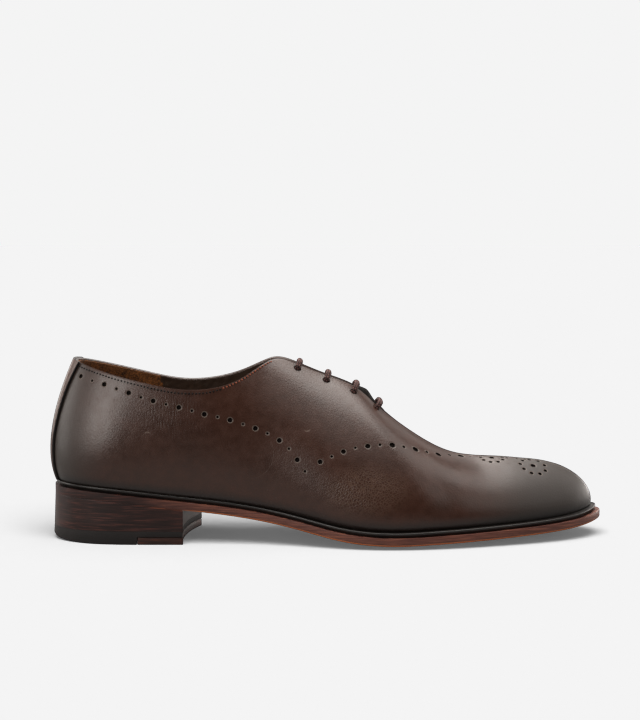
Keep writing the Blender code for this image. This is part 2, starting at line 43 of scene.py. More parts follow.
# The last, a row for each section from heel to toe. The first table is the line where the upper meets the
# welt, the second the ribs that climb from it to the collar, the facing edge or the ridge over the toes
last = {
    "centre": (0.55, -0.18),
    "facingTop": 7,  # section where the collar turns down into the facing
    "throatEnd": 12,  # section where the facing edges meet
    "footColumns": ("footX", "outer", "inner", "footZ", "welt", "crown", "archOut"),
    "foot": (
        (-148.6, 0, 0, 32.4, 1.8, 0, 0),  # heel back
        (-142.4, -17.5, 17.4, 32.1, 1.9, 0, 0),
        (-127, -26.8, 26.4, 31, 2, 0, 0),
        (-106, -29.6, 29, 29, 2.2, 0, 0),
        (-83, -29.8, 28.2, 26.4, 2.2, 0, 1.5),
        (-58, -30, 26, 23.6, 2.4, 0.8, 3),  # in front of the heel
        (-34, -32.2, 25, 20.1, 2.8, 1.4, 4),
        (-12, -38, 29, 15.9, 3.6, 2, 3.5),
        (8, -43.6, 36, 11.6, 4.4, 2.5, 2),
        (26, -46.4, 42.8, 9.6, 4.8, 2.7, 0.5),
        (43, -46.2, 46.4, 9.4, 5, 2.7, 0),  # ball
        (56, -44.4, 46.8, 9.9, 5, 2.7, 0),
        (69, -41.4, 45.6, 10.4, 5, 2.6, 0),
        (83, -37.2, 43, 11, 5, 2.5, 0),
        (98, -31.8, 39.2, 11.7, 5, 2.3, 0),
        (113, -25.6, 34.4, 12.5, 5.1, 2, 0),
        (127, -18, 28.4, 13.5, 5.1, 1.6, 0),
        (139, -8.6, 20.6, 15, 5.1, 1, 0),
        (146.8, 6, 6, 16.8, 5.1, 0, 0),  # toe tip
    ),
    "ribColumns": (
        "topX", "topY", "topHalf", "topZ", "innerRise", "bearing", "lowOut", "lowUp", "highOut", "highDown",
    ),
    "ribs": (
        (-138.6, 0, 0, 97.9, 0, -90, 6, 14, 12.5, 28),  # heel back
        (-134.6, 0, 8.8, 96.3, 1.2, -52, 6, 14, 11.5, 28),
        (-121, 0, 17.8, 92.2, 1.8, -20, 5, 14, 9, 26),
        (-103, 0, 23.6, 87.8, 1.5, -5, 4.5, 14, 6.5, 24),
        (-82, 0, 26.4, 83.8, 1.2, 0, 4.5, 14, 5.5, 22),
        (-61, 0, 25.8, 84.4, 1.8, 0, 5, 14, 6, 22),
        (-45.5, 0, 20.8, 89.8, 1.3, 0, 6, 15, 9, 21),
        (-33.5, 0, 12, 97, 0, 0, 6, 16, 13, 16),  # top of the facing
        (-22, 0, 6.6, 97.7, 0, 0, 5.5, 17, 16, 12),
        (-3, 0, 5.2, 90.2, 0, 0, 5, 18, 18, 9),
        (16, 0, 5.4, 82.4, 0, 4, 5, 18, 20, 8),
        (27, 0, 5.4, 73, 0, 8, 4.5, 18, 22, 6.5),
        (38.5, 0, 0, 63.3, 0, 14, 4, 18, 23, 4.5),  # end of the throat
        (54, 0.2, 0, 52.6, 0, 20, 3.5, 18, 22, 4),
        (72, 0.6, 0, 45.4, 0, 26, 3, 17, 19, 2.2),
        (90, 1.2, 0, 43.9, 0, 30, 2.5, 15, 17, 0.8),
        (106, 2, 0, 42.7, 0, 38, 2, 13, 15, 0.9),
        (118, 2.8, 0, 41.4, 0, 54, 1.8, 11.5, 12.5, 1.8),
        (127, 3.6, 0, 39.2, 0, 90, 1.6, 10, 10.8, 3.6),  # toe tip
    ),
    "nudge": 0.1,  # step along the way that gives a direction
    "riseNudge": 0.004,  # and the step up a rib
    "scan": 400,  # places tried when a table is read backwards
}


def unit(vectors):
    return vectors / np.linalg.norm(vectors, axis=-1, keepdims=True)


def lengthAlong(points, power=1.0):  # from the first of a row of points to each of them
    return np.concatenate([[0.0], np.cumsum(np.linalg.norm(np.diff(points, axis=0), axis=1) ** power)])


def easedBetween(values, slopes, i, j, s, span):  # a smooth curve from place i to place j
    curve = values[i] * (1 + 2 * s) * (1 - s) ** 2 + values[j] * s * s * (3 - 2 * s)
    return curve + span * (slopes[i] * s * (1 - s) ** 2 - slopes[j] * s * s * (1 - s))


def relax(row, rounds):  # evens out a row of values or points and keeps its ends
    row = row.copy()
    for _ in range(rounds):
        row[1:-1] = (row[:-2] + 2 * row[1:-1] + row[2:]) / 4
    return row


def smoothCurve(points, power, count):  # close points on a curve through these, and the length up to each
    points = np.array(points, float)
    run = lengthAlong(points, power)
    places = np.linspace(0.0, run[-1], count)
    i = np.clip(np.searchsorted(run, places, side="right") - 1, 0, len(run) - 2)
    span = (run[i + 1] - run[i])[:, None]
    s = (places - run[i])[:, None] / span
    curve = easedBetween(points, np.gradient(points, run, axis=0), i, i + 1, s, span)
    return curve, lengthAlong(curve)


def pointsAt(curve, length, runs):  # the curve's points at these lengths
    return np.stack([np.interp(runs, length, column) for column in curve.T], axis=1)


def closedSlopes(knots, values):  # slopes of a smooth closed curve through the values
    count = len(values)
    spans = np.diff(knots)
    rates = (np.roll(values, -1, axis=0) - values) / spans[:, None]
    matrix = np.zeros((count, count))
    right = np.zeros_like(values)
    for i in range(count):
        before, after = spans[i - 1], spans[i]
        matrix[i, i - 1] = after
        matrix[i, i] = 2 * (before + after)
        matrix[i, (i + 1) % count] = before
        right[i] = 3 * (after * rates[i - 1] + before * rates[i])
    return np.linalg.solve(matrix, right)


def layOutLast():
    foot = dict(zip(last["footColumns"], np.array(last["foot"], float).T))
    rib = dict(zip(last["ribColumns"], np.array(last["ribs"], float).T))
    end = len(last["foot"]) - 1
    # out along the outer side, back along the inner
    order = list(range(end + 1)) + list(range(end - 1, 0, -1))
    inner = np.arange(len(order)) > end
    outerRun = np.hypot(np.diff(foot["footX"]), np.diff(foot["outer"]))
    innerRun = np.hypot(np.diff(foot["footX"]), np.diff(foot["inner"]))
    run = (outerRun + innerRun) / 2
    stations = np.concatenate([[0.0], np.cumsum(run)])
    knots = np.concatenate([stations, stations[-1] + np.cumsum(run[::-1])])
    bearing = np.radians(rib["bearing"][order])
    columns = {
        "x": foot["footX"][order] + last["centre"][0],
        "y": np.where(inner, foot["inner"][order], foot["outer"][order]) + last["centre"][1],
        "z": foot["footZ"][order],
        "welt": foot["welt"][order],
        "crown": foot["crown"][order],
        "outX": np.sin(bearing),
        "outY": np.where(inner, np.cos(bearing), -np.cos(bearing)),
        "topX": rib["topX"][order] + last["centre"][0],
        "topY": rib["topY"][order] + last["centre"][1],
        "topOff": np.where(inner, rib["topHalf"][order], -rib["topHalf"][order]),
        "topZ": rib["topZ"][order] + np.where(inner, rib["innerRise"][order], 0.0),
        "lowOut": rib["lowOut"][order] + np.where(inner, foot["archOut"][order], 0.0),
        "lowUp": rib["lowUp"][order],
        "highOut": rib["highOut"][order],
        "highDown": rib["highDown"][order],
    }
    values = np.stack(list(columns.values()), axis=1)
    return stations, knots, list(columns), values, closedSlopes(knots, values)


stations, knots, columnNames, columnValues, columnSlopes = layOutLast()
toeWay = stations[-1]  # way from heel to toe along the feather line
throatWay = stations[last["throatEnd"]]


def columnsAt(way):
    way = np.mod(np.asarray(way, float), knots[-1])
    i = np.clip(np.searchsorted(knots, way, side="right") - 1, 0, len(columnValues) - 1)
    span = (knots[i + 1] - knots[i])[..., None]
    s = (way - knots[i])[..., None] / span
    blend = easedBetween(columnValues, columnSlopes, i, (i + 1) % len(columnValues), s, span)
    found = {name: blend[..., k] for k, name in enumerate(columnNames)}
    length = np.hypot(found["outX"], found["outY"])
    found["outX"] = found["outX"] / length
    found["outY"] = found["outY"] / length
    closed = (way >= throatWay) & (way <= 2 * toeWay - throatWay)
    outward = np.where(way > toeWay, np.maximum(found["topOff"], 0.0), np.minimum(found["topOff"], 0.0))
    found["topOff"] = np.where(closed, 0.0, outward)
    return found


def skinPoint(way, rise):  # the upper's outside: way round the feather line, rise from 0 there to 1 on top
    way, rise = np.broadcast_arrays(np.asarray(way, float), np.asarray(rise, float))
    c = columnsAt(way)
    out = np.stack([c["outX"], c["outY"], np.zeros_like(c["outX"])], axis=-1)
    foot = np.stack([c["x"], c["y"], c["z"]], axis=-1)
    top = np.stack([c["topX"], c["topY"] + c["topOff"], c["topZ"]], axis=-1)
    low = foot + out * c["lowOut"][..., None] + zAxis * c["lowUp"][..., None]
    high = top + out * c["highOut"][..., None] - zAxis * c["highDown"][..., None]
    t = rise[..., None]
    return foot * (1 - t) ** 3 + low * 3 * t * (1 - t) ** 2 + high * 3 * t * t * (1 - t) + top * t**3


def skinNormal(way, rise):
    way, rise = np.broadcast_arrays(np.asarray(way, float), np.asarray(rise, float))
    step = last["riseNudge"]
    along = skinPoint(way + last["nudge"], rise) - skinPoint(way - last["nudge"], rise)
    across = skinPoint(way, np.minimum(rise + step, 1.0)) - skinPoint(way, np.maximum(rise - step, 0.0))
    return unit(np.cross(along, across))


def skinAt(way, rise):
    return skinPoint(way, rise), skinNormal(way, rise)


def edgePoint(way, outset):  # in plan, this far outside the feather line
    way = np.asarray(way, float)
    c, ahead, behind = columnsAt(way), columnsAt(way + last["nudge"]), columnsAt(way - last["nudge"])
    along = unit(np.stack([ahead["x"] - behind["x"], ahead["y"] - behind["y"]], axis=-1))
    normal = np.stack([along[..., 1], -along[..., 0]], axis=-1)
    return np.stack([c["x"], c["y"]], axis=-1) + normal * np.broadcast_to(outset, c["x"].shape)[..., None]


def acrossSole(way, outset, share):  # in plan, from the outer edge (share 0) to the inner edge (1)
    outer, inner = edgePoint(way, outset), edgePoint(2 * toeWay - way, outset)
    return outer * (1 - share[..., None]) + inner * share[..., None]


def withHeight(plan, height):
    return np.concatenate([plan, np.broadcast_to(height, plan.shape[:-1])[..., None]], axis=-1)


def spreadWay(first, end, step):  # places along the way, about a step apart
    return np.linspace(first, end, max(2, int(round((end - first) / step)) + 1))


def roundWay(step):  # places all round the shoe, out along the outer side and back along the inner
    way = spreadWay(0.0, toeWay, step)
    return np.concatenate([way, 2 * toeWay - way[-2:0:-1]])


print("last laid out")


def deselectAll():
    if bpy.context.mode != "OBJECT":
        bpy.ops.object.mode_set(mode="OBJECT")
    bpy.ops.object.select_all(action="DESELECT")


def pick(piece):
    deselectAll()
    piece.select_set(True)
    bpy.context.view_layer.objects.active = piece


def applyModifier(piece, kind, **settings):
    pick(piece)
    modifier = piece.modifiers.new(kind.lower(), kind)
    for key, value in settings.items():
        setattr(modifier, key, value)
    bpy.ops.object.modifier_apply(modifier=modifier.name)


def roundEdges(piece, width, sharp=60.0):  # rounds the edges that turn by more than this many degrees
    applyModifier(piece, "BEVEL", width=width * mm, segments=2, limit_method="ANGLE",
                  angle_limit=math.radians(sharp))


def editAll(piece):
    pick(piece)
    bpy.ops.object.mode_set(mode="EDIT")
    bpy.ops.mesh.select_all(action="SELECT")


def mergePoints(piece, gap=0.002):  # closes seams and poles
    editAll(piece)
    bpy.ops.mesh.remove_doubles(threshold=gap * mm)
    bpy.ops.mesh.dissolve_degenerate(threshold=gap * mm / 10)
    bpy.ops.object.mode_set(mode="OBJECT")


def faceOutwards(piece):
    editAll(piece)
    bpy.ops.mesh.normals_make_consistent(inside=False)
    bpy.ops.object.mode_set(mode="OBJECT")


def meshPiece(name, points, faces):
    mesh = bpy.data.meshes.new(name)
    places = (np.asarray(points).reshape(-1, 3) * mm).tolist()
    mesh.from_pydata(places, [], [list(map(int, face)) for face in faces])
    piece = bpy.data.objects.new(name, mesh)
    bpy.context.scene.collection.objects.link(piece)
    return piece


def gridFaces(rows, cols, closedRows=False, closedCols=False):
    index = np.arange(rows * cols).reshape(rows, cols)
    if closedRows:
        index = np.vstack([index, index[:1]])
    if closedCols:
        index = np.hstack([index, index[:, :1]])
    quads = (index[:-1, :-1], index[1:, :-1], index[1:, 1:], index[:-1, 1:])
    return np.stack(quads, axis=-1).reshape(-1, 4)


def gridPiece(name, grid, closedRows=False, closedCols=False):
    return meshPiece(name, grid, gridFaces(*grid.shape[:2], closedRows, closedCols))


def gridSolid(name, over, under):  # closed between two grids that match
    rows, cols = over.shape[:2]
    count = rows * cols
    index = np.arange(count).reshape(rows, cols)
    top = gridFaces(rows, cols)
    rim = [*index[0, :], *index[1:, -1], *index[-1, -2::-1], *index[-2:0:-1, 0]]
    side = [(a, b, b + count, a + count) for a, b in zip(rim, rim[1:] + rim[:1])]
    points = np.concatenate([over.reshape(-1, 3), under.reshape(-1, 3)])
    piece = meshPiece(name, points, [*top, *(top[:, ::-1] + count), *side])
    mergePoints(piece)
    faceOutwards(piece)
    return piece


def giveMaterials(piece, *materials):
    for material in materials:
        piece.data.materials.append(material)


def dress(piece, materials, stands=(), angle=35.0):  # finish, shading, and its place in the frame
    giveMaterials(piece, *materials)
    pick(piece)
    bpy.ops.object.shade_smooth_by_angle(angle=math.radians(angle))
    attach(piece, "root")
    if stands:
        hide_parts(*stands)
    return piece


def hexColour(code):  # sRGB hex to linear
    parts = [int(code[i : i + 2], 16) / 255 for i in (1, 3, 5)]
    return (*[p / 12.92 if p <= 0.04045 else ((p + 0.055) / 1.055) ** 2.4 for p in parts], 1.0)


def fillInputs(tree, node, inputs):  # a node among the values is linked by its first output in use
    for key, value in inputs.items():
        if isinstance(value, bpy.types.Node):
            value = next(socket for socket in value.outputs if socket.enabled)
        if isinstance(value, bpy.types.NodeSocket):
            tree.links.new(value, node.inputs[key])
        else:
            node.inputs[key].default_value = value


def addNode(tree, kind, inputs=None, **settings):
    node = tree.nodes.new("ShaderNode" + kind)
    for key, value in settings.items():
        setattr(node, key, value)
    fillInputs(tree, node, inputs or {})
    return node


def newMaterial(name):
    material = bpy.data.materials.new(name)
    material.use_nodes = True
    tree = material.node_tree
    return material, tree, tree.nodes["Principled BSDF"], addNode(tree, "TexCoord").outputs["Object"]


def perMetre(size):  # texture scale for a feature of this size in millimetres
    return 1.0 / (size * mm)


def setShader(tree, shader, **values):
    fillInputs(tree, shader, {key.replace("_", " "): value for key, value in values.items()})


# Calf leather, waxed and burnished: a satin brown that goes greyer where it was polished dark at toe and
# heel, with a tight pore grain, a patch of fine creases and a few old scuffs; painted shade, with some dark
# polish, darkens it to near black down at the welt, where the crevice over the welt is in shadow
calf = {
    "brown": "#3a2015", "deep": "#2e180e", "burnish": "#2b2420", "black": "#0c0908", "scuff": "#75675e",
    # rim and rimDark: painted highlight round each punched hole
    "rim": "#66584f", "rimDark": "#352a24", "crackle": "#6f5a4b", "crackleTint": 0.3,
    "poreSize": 0.8, "cloudSize": 30.0, "mottleSize": 4.5, "creaseSize": 1.4,
    "roughness": 0.31, "burnishRoughness": 0.18,
    # the black tone and the height above the welt up to which painted shade darkens the leather towards it
    "toeFrom": 70.0, "toeTo": 118.0, "heelFrom": -118.0, "heelTo": -146.0, "weltShadeTo": 6.5,
    "creased": ((21.0, 31.0), (31.0, 17.0)),  # X and Z of the patch of fine creases, and its reach
    "wrinkled": ((-80.0, 69.0), (26.0, 17.0)), "wrinkleSize": (0.9, 5.0),  # upright wrinkles under the ankle
    "spotCore": 0.3,  # share of a patch's reach inside which it is at full strength
    # centre in X and Z, radius, width, the side of the centre on which the mark shows, and its strength
    "marks": (
        ((-10.5, 63.6), 2.0, 0.55, (0.2, 0.0, -1.0), 0.6),
        ((-96.5, 59.0), 1.8, 0.5, (0.1, 0.0, 1.0), 0.6),
        ((-42.0, 49.5), 13.5, 0.3, (1.0, 0.0, -0.45), 0.12),
    ),
    "markEnds": 0.55,  # share of the radius at which an arc has faded out
    "outerFrom": -5.0,  # Y past which the marks show in full: they are on the outer side only
}


def softSpot(tree, place, centre, reach):  # 1 in the middle of an oval patch in side view, 0 at its edge
    near = addNode(tree, "Mapping", {
        "Vector": place, "Location": (-centre[0] / reach[0], 0.0, -centre[1] / reach[1]),
        "Scale": (perMetre(reach[0]), 0.0, perMetre(reach[1])),
    })
    far = addNode(tree, "VectorMath", {0: near}, operation="LENGTH")
    return addNode(tree, "MapRange", {
        "Value": far, "From Min": 1.0, "From Max": calf["spotCore"],
    }, interpolation_type="SMOOTHSTEP")


def arcMark(tree, place, centre, radius, width, facing, strength):  # a thin arc in side view
    near = addNode(tree, "Mapping", {
        "Vector": place, "Location": (-centre[0] * mm, 0.0, -centre[1] * mm), "Scale": (1.0, 0.0, 1.0),
    })
    far = addNode(tree, "VectorMath", {0: near}, operation="LENGTH")
    off = addNode(tree, "Math", {0: far, 1: radius * mm}, operation="SUBTRACT")
    line = addNode(tree, "MapRange", {
        "Value": addNode(tree, "Math", {0: off}, operation="ABSOLUTE"),
        "From Min": width * mm, "From Max": 0.0,
    })
    ahead = addNode(tree, "VectorMath", {0: near, 1: facing}, operation="DOT_PRODUCT")
    shown = addNode(tree, "MapRange", {
        "Value": ahead, "From Min": calf["markEnds"] * radius * mm, "From Max": radius * mm,
        "To Max": strength,
    })
    return addNode(tree, "Math", {0: line, 1: shown}, operation="MULTIPLY")


def calfLeather():
    material, tree, shader, place = newMaterial("calf_leather_waxed")
    cloud = addNode(tree, "TexNoise", {"Vector": place, "Scale": perMetre(calf["cloudSize"]), "Detail": 3.0})
    mottle = addNode(tree, "TexNoise", {
        "Vector": place, "Scale": perMetre(calf["mottleSize"]), "Detail": 5.0,
    })
    both = addNode(tree, "Math", {0: cloud, 1: mottle}, operation="ADD")
    share = addNode(tree, "MapRange", {"Value": both, "From Min": 0.7, "From Max": 1.3})
    tone = addNode(tree, "Mix", {
        "Factor": share, 6: hexColour(calf["deep"]), 7: hexColour(calf["brown"]),
    }, data_type="RGBA")
    where = addNode(tree, "SeparateXYZ", {0: place})
    burnished = 0.0
    for first, end in ((calf["toeFrom"], calf["toeTo"]), (calf["heelFrom"], calf["heelTo"])):
        reach = addNode(tree, "MapRange", {
            "Value": where.outputs["X"], "From Min": first * mm, "From Max": end * mm,
        }, interpolation_type="SMOOTHSTEP")
        tone = addNode(tree, "Mix", {
            "Factor": reach, 6: tone, 7: hexColour(calf["burnish"]),
        }, data_type="RGBA")
        burnished = addNode(tree, "Math", {0: reach, 1: burnished}, operation="MAXIMUM")
    # painted shade, with some dark polish: the leather darkens to near black over the last few millimetres
    # above the welt
    height = addNode(tree, "Attribute", attribute_name="aboveWelt").outputs["Fac"]
    foot = addNode(tree, "MapRange", {
        "Value": height, "From Min": 0.0, "From Max": calf["weltShadeTo"], "To Min": 0.9, "To Max": 0.0,
    }, interpolation_type="SMOOTHSTEP")
    tone = addNode(tree, "Mix", {"Factor": foot, 6: tone, 7: hexColour(calf["black"])}, data_type="RGBA")
    marks = 0.0
    for mark in calf["marks"]:
        line = arcMark(tree, place, *mark)
        marks = addNode(tree, "Math", {0: line, 1: marks}, operation="MAXIMUM")
    outside = addNode(tree, "MapRange", {
        "Value": where.outputs["Y"], "From Min": 0.0, "From Max": calf["outerFrom"] * mm,
    })
    marks = addNode(tree, "Math", {0: marks, 1: outside}, operation="MULTIPLY")
    tone = addNode(tree, "Mix", {"Factor": marks, 6: tone, 7: hexColour(calf["scuff"])}, data_type="RGBA")
    pores = addNode(tree, "TexVoronoi", {
        "Vector": place, "Scale": perMetre(calf["poreSize"]),
    }, feature="SMOOTH_F1")
    grain = addNode(tree, "Bump", {"Height": pores, "Strength": 0.5, "Distance": 0.1 * mm})
    drape = addNode(tree, "Bump", {"Height": mottle, "Strength": 0.12, "Distance": 0.3 * mm, "Normal": grain})
    cells = addNode(tree, "TexVoronoi", {
        "Vector": place, "Scale": perMetre(calf["creaseSize"]),
    }, feature="DISTANCE_TO_EDGE")
    furrow = addNode(tree, "MapRange", {"Value": cells, "From Min": 0.0, "From Max": 0.22})
    spot = softSpot(tree, place, *calf["creased"])
    depth = addNode(tree, "Math", {0: furrow, 1: spot}, operation="MULTIPLY")
    lines = addNode(tree, "Math", {0: spot, 1: depth}, operation="SUBTRACT")
    rubbed = addNode(tree, "Math", {0: lines, 1: calf["crackleTint"]}, operation="MULTIPLY")
    tone = addNode(tree, "Mix", {"Factor": rubbed, 6: tone, 7: hexColour(calf["crackle"])}, data_type="RGBA")
    creases = addNode(tree, "Bump", {
        "Height": depth, "Strength": 0.35, "Distance": 0.14 * mm, "Normal": drape,
    })
    upright = addNode(tree, "Mapping", {
        "Vector": place, "Scale": (perMetre(calf["wrinkleSize"][0]), 0.0, perMetre(calf["wrinkleSize"][1])),
    })
    wrinkle = addNode(tree, "TexNoise", {"Vector": upright, "Scale": 1.0, "Detail": 2.0})
    pull = addNode(tree, "Math", {
        0: wrinkle, 1: softSpot(tree, place, *calf["wrinkled"]),
    }, operation="MULTIPLY")
    wrinkles = addNode(tree, "Bump", {
        "Height": pull, "Strength": 0.45, "Distance": 0.35 * mm, "Normal": creases,
    })
    scuffs = addNode(tree, "Bump", {
        "Height": marks, "Strength": 0.5, "Distance": 0.2 * mm, "Normal": wrinkles,
    }, invert=True)
    rough = addNode(tree, "MapRange", {
        "Value": mottle, "From Min": 0.3, "From Max": 0.7,
        "To Min": calf["roughness"] - 0.03, "To Max": calf["roughness"] + 0.05,
    })
    satin = addNode(tree, "Math", {
        0: burnished, 1: calf["burnishRoughness"], 2: rough,
    }, operation="MULTIPLY_ADD")
    setShader(tree, shader, Base_Color=tone, Roughness=satin, Normal=scuffs,
              IOR=1.48, Coat_Weight=0.12, Coat_Roughness=0.32)
    return material


def cloudyTone(tree, place, size, detail, dark, light):  # two tones in clouds of this size
    cloud = addNode(tree, "TexNoise", {"Vector": place, "Scale": perMetre(size), "Detail": detail})
    return addNode(tree, "Mix", {"Factor": cloud, 6: hexColour(dark), 7: hexColour(light)}, data_type="RGBA")


# Leather at a punched hole: the rim is a paler tone, a painted highlight on its raised lip, and down in the
# hole the leather is near black and matt, painted shade
def holeLeather(name, flecks, detail, dark, light, roughness, gloss):
    material, tree, shader, place = newMaterial(name)
    tone = cloudyTone(tree, place, flecks, detail, dark, light)
    setShader(tree, shader, Base_Color=tone, Roughness=roughness, Specular_IOR_Level=gloss)
    return material


# Plain leathers share a cloudy two-tone colour with a fine grain
def plainLeather(name, dark, light, roughness, cloudSize, grainSize, grainDepth, gloss=0.5):
    material, tree, shader, place = newMaterial(name)
    tone = cloudyTone(tree, place, cloudSize, 6.0, dark, light)
    pores = addNode(tree, "TexVoronoi", {"Vector": place, "Scale": perMetre(grainSize)}, feature="SMOOTH_F1")
    grain = addNode(tree, "Bump", {"Height": pores, "Strength": 0.35, "Distance": grainDepth * mm})
    setShader(tree, shader, Base_Color=tone, Roughness=roughness, Normal=grain, Specular_IOR_Level=gloss)
    return material


# Leather board seen on its cut edge: fine streaks along the layers, some of them reddish, waxed and rubbed
stackTones = ("#190d0c", "#2d1a17", "#573029")
soleTones = ("#472923", "#6a4137", "#85533f")
tipTones = ("#1f0f0b", "#331a13", "#542a1b")
seamTones = ("#2a1612", "#5b2f20", "#9a5530")
streaks = {"length": 13.0, "height": 0.5, "heelTo": -112.0, "heelFrom": -62.0}


def streakedEdge(name, tones, roughness, heelTones=None):  # the tones can pass into others over the heel
    material, tree, shader, place = newMaterial(name)
    along, up = perMetre(streaks["length"]), perMetre(streaks["height"])
    drawn = addNode(tree, "Mapping", {"Vector": place, "Scale": (along, along, up)})
    streak = addNode(tree, "TexNoise", {"Vector": drawn, "Scale": 1.0, "Detail": 5.0, "Roughness": 0.62})
    near = addNode(tree, "SeparateXYZ", {0: place}).outputs["X"]
    heel = addNode(tree, "MapRange", {
        "Value": near, "From Min": streaks["heelFrom"] * mm, "From Max": streaks["heelTo"] * mm,
    }, interpolation_type="SMOOTHSTEP")
    colours = []
    for tone, other in zip(tones, heelTones or tones):
        colours.append(addNode(tree, "Mix", {
            "Factor": heel, 6: hexColour(tone), 7: hexColour(other),
        }, data_type="RGBA"))
    fine = addNode(tree, "MapRange", {"Value": streak, "From Min": 0.36, "From Max": 0.56})
    tone = addNode(tree, "Mix", {"Factor": fine, 6: colours[0], 7: colours[1]}, data_type="RGBA")
    bright = addNode(tree, "MapRange", {"Value": streak, "From Min": 0.54, "From Max": 0.70})
    lit = addNode(tree, "Mix", {"Factor": bright, 6: tone, 7: colours[2]}, data_type="RGBA")
    fibre = addNode(tree, "Bump", {"Height": streak, "Strength": 0.3, "Distance": 0.12 * mm})
    setShader(tree, shader, Base_Color=lit, Roughness=roughness, Normal=fibre,
              Specular_IOR_Level=0.3, Coat_Weight=0.06, Coat_Roughness=0.3)
    return material


# Suede: flesh side with a short nap, warm brown, no gloss, a soft sheen at the turn
def suedeNap():
    material, tree, shader, place = newMaterial("suede_brushed")
    patch = addNode(tree, "TexNoise", {"Vector": place, "Scale": perMetre(5.0), "Detail": 4.0})
    nap = addNode(tree, "TexNoise", {"Vector": place, "Scale": perMetre(0.8), "Detail": 4.0})
    both = addNode(tree, "Mix", {"Factor": 0.75, 2: patch, 3: nap})
    share = addNode(tree, "MapRange", {"Value": both, "From Min": 0.36, "From Max": 0.66})
    tone = addNode(tree, "Mix", {
        "Factor": share, 6: hexColour("#2b180b"), 7: hexColour("#965f30"),
    }, data_type="RGBA")
    fuzz = addNode(tree, "Bump", {"Height": nap, "Strength": 0.6, "Distance": 0.35 * mm})
    setShader(tree, shader, Base_Color=tone, Roughness=0.95, Normal=fuzz,
              Specular_IOR_Level=0.1, Sheen_Weight=0.25)
    return material


# Moulded rubber: near-black, matt, a faint bloom and a fine pebble from the mould
def mouldedRubber():
    material, tree, shader, place = newMaterial("rubber_moulded_black")
    tone = cloudyTone(tree, place, 7.0, 5.0, "#121010", "#201d1d")
    pebble = addNode(tree, "TexNoise", {"Vector": place, "Scale": perMetre(0.5), "Detail": 2.0})
    skin = addNode(tree, "Bump", {"Height": pebble, "Strength": 0.25, "Distance": 0.1 * mm})
    setShader(tree, shader, Base_Color=tone, Roughness=0.75, Normal=skin, Specular_IOR_Level=0.3)
    return material


# Waxed cotton: two tones flecked with fibres; on a braid, painted shade darkens it down between the strands
def waxedCotton(name, dark, light, fibreSize=0.35, strands=False):
    material, tree, shader, place = newMaterial(name)
    fibre = addNode(tree, "TexNoise", {"Vector": place, "Scale": perMetre(fibreSize), "Detail": 4.0})
    share = fibre
    if strands:
        # painted shade: the cord's attribute darkens the braid down between its strands
        height = addNode(tree, "Attribute", attribute_name="strandShade").outputs["Fac"]
        lit = addNode(tree, "MapRange", {"Value": height, "From Min": 0.35, "From Max": 1.0})
        fleck = addNode(tree, "MapRange", {"Value": share, "From Min": 0.3, "From Max": 0.62, "To Min": 0.45})
        share = addNode(tree, "Math", {0: lit, 1: fleck}, operation="MULTIPLY")
    tone = addNode(tree, "Mix", {"Factor": share, 6: hexColour(dark), 7: hexColour(light)}, data_type="RGBA")
    nap = addNode(tree, "Bump", {"Height": fibre, "Strength": 0.4, "Distance": 0.08 * mm})
    setShader(tree, shader, Base_Color=tone, Roughness=0.75, Normal=nap, Specular_IOR_Level=0.25)
    return material


upperCalf = calfLeather()
# painted highlight: the paler tone round each hole stands in for light on its raised lip
rimHighlightCalf = holeLeather("calf_leather_rim_painted_highlight", 0.8, 3.0, calf["rimDark"], calf["rim"], 0.5, 0.5)
# painted shade: the walls and floor of each punched hole and eyelet are near black and matt, as the shadow
# inside
holeShadeBlack = holeLeather("hole_painted_shade_black", 0.4, 4.0, "#0a0807", "#1a1411", 0.95, 0.1)
print("first materials ready")


# The upper's outer leather: one skin over the last, with its cut rim rounded over
upperCut = {
    "outerLeather": 1.2, "alongStep": 1.25, "riseSteps": 74, "rimRound": 0.35,
    # rounding of the ridge over the toes: its width, the height of a row there, and its fading at both ends
    "crestWidth": 9.0, "rowHeight": 1.2, "crestRounds": 14, "crestFade": 26.0, "throatFade": 4.0,
    "ridgeRounds": 8,
    "eyeletRadius": 2.0, "eyeletX": (-15.6, 0.2, 15.4, 27.4), "eyeletSets": (3.5, 4.6, 5.4, 5.6),
    # way to each side of the facing edge searched for an eyelet, lowest rise searched, and places tried
    "eyeletWays": (30.0, 241), "eyeletRises": (0.75, 126),
}

# Soft folds: two ends in side view (X, Z), width, height (a trough is negative), and which side
folds = (
    ((78.0, 46.0), (74.0, 18.0), 6.0, 0.14, "both"),  # edge of the toe stiffener
    ((66.0, 50.0), (62.0, 20.0), 6.0, -0.10, "both"),  # soft hollow behind it
    ((-46.0, 40.0), (-30.0, 58.0), 5.0, -0.22, "inner"),  # pull of the waist over the arch
    ((22.0, 42.0), (44.0, 33.0), 5.0, -0.10, "both"),  # first bend over the ball
)


def foldHeight(points):
    height = np.zeros(points.shape[:-1])
    flat = points[..., (0, 2)]
    for start, end, width, size, side in folds:
        start, end = np.array(start), np.array(end)
        run = end - start
        share = np.clip(((flat - start) @ run) / (run @ run), 0.0, 1.0)
        gap = np.linalg.norm(flat - (start + share[..., None] * run), axis=-1)
        bump = size * np.exp(-((gap / width) ** 2))
        if side == "inner":
            bump = np.where(points[..., 1] > 0, bump, 0.0)
        height = height + bump
    return height


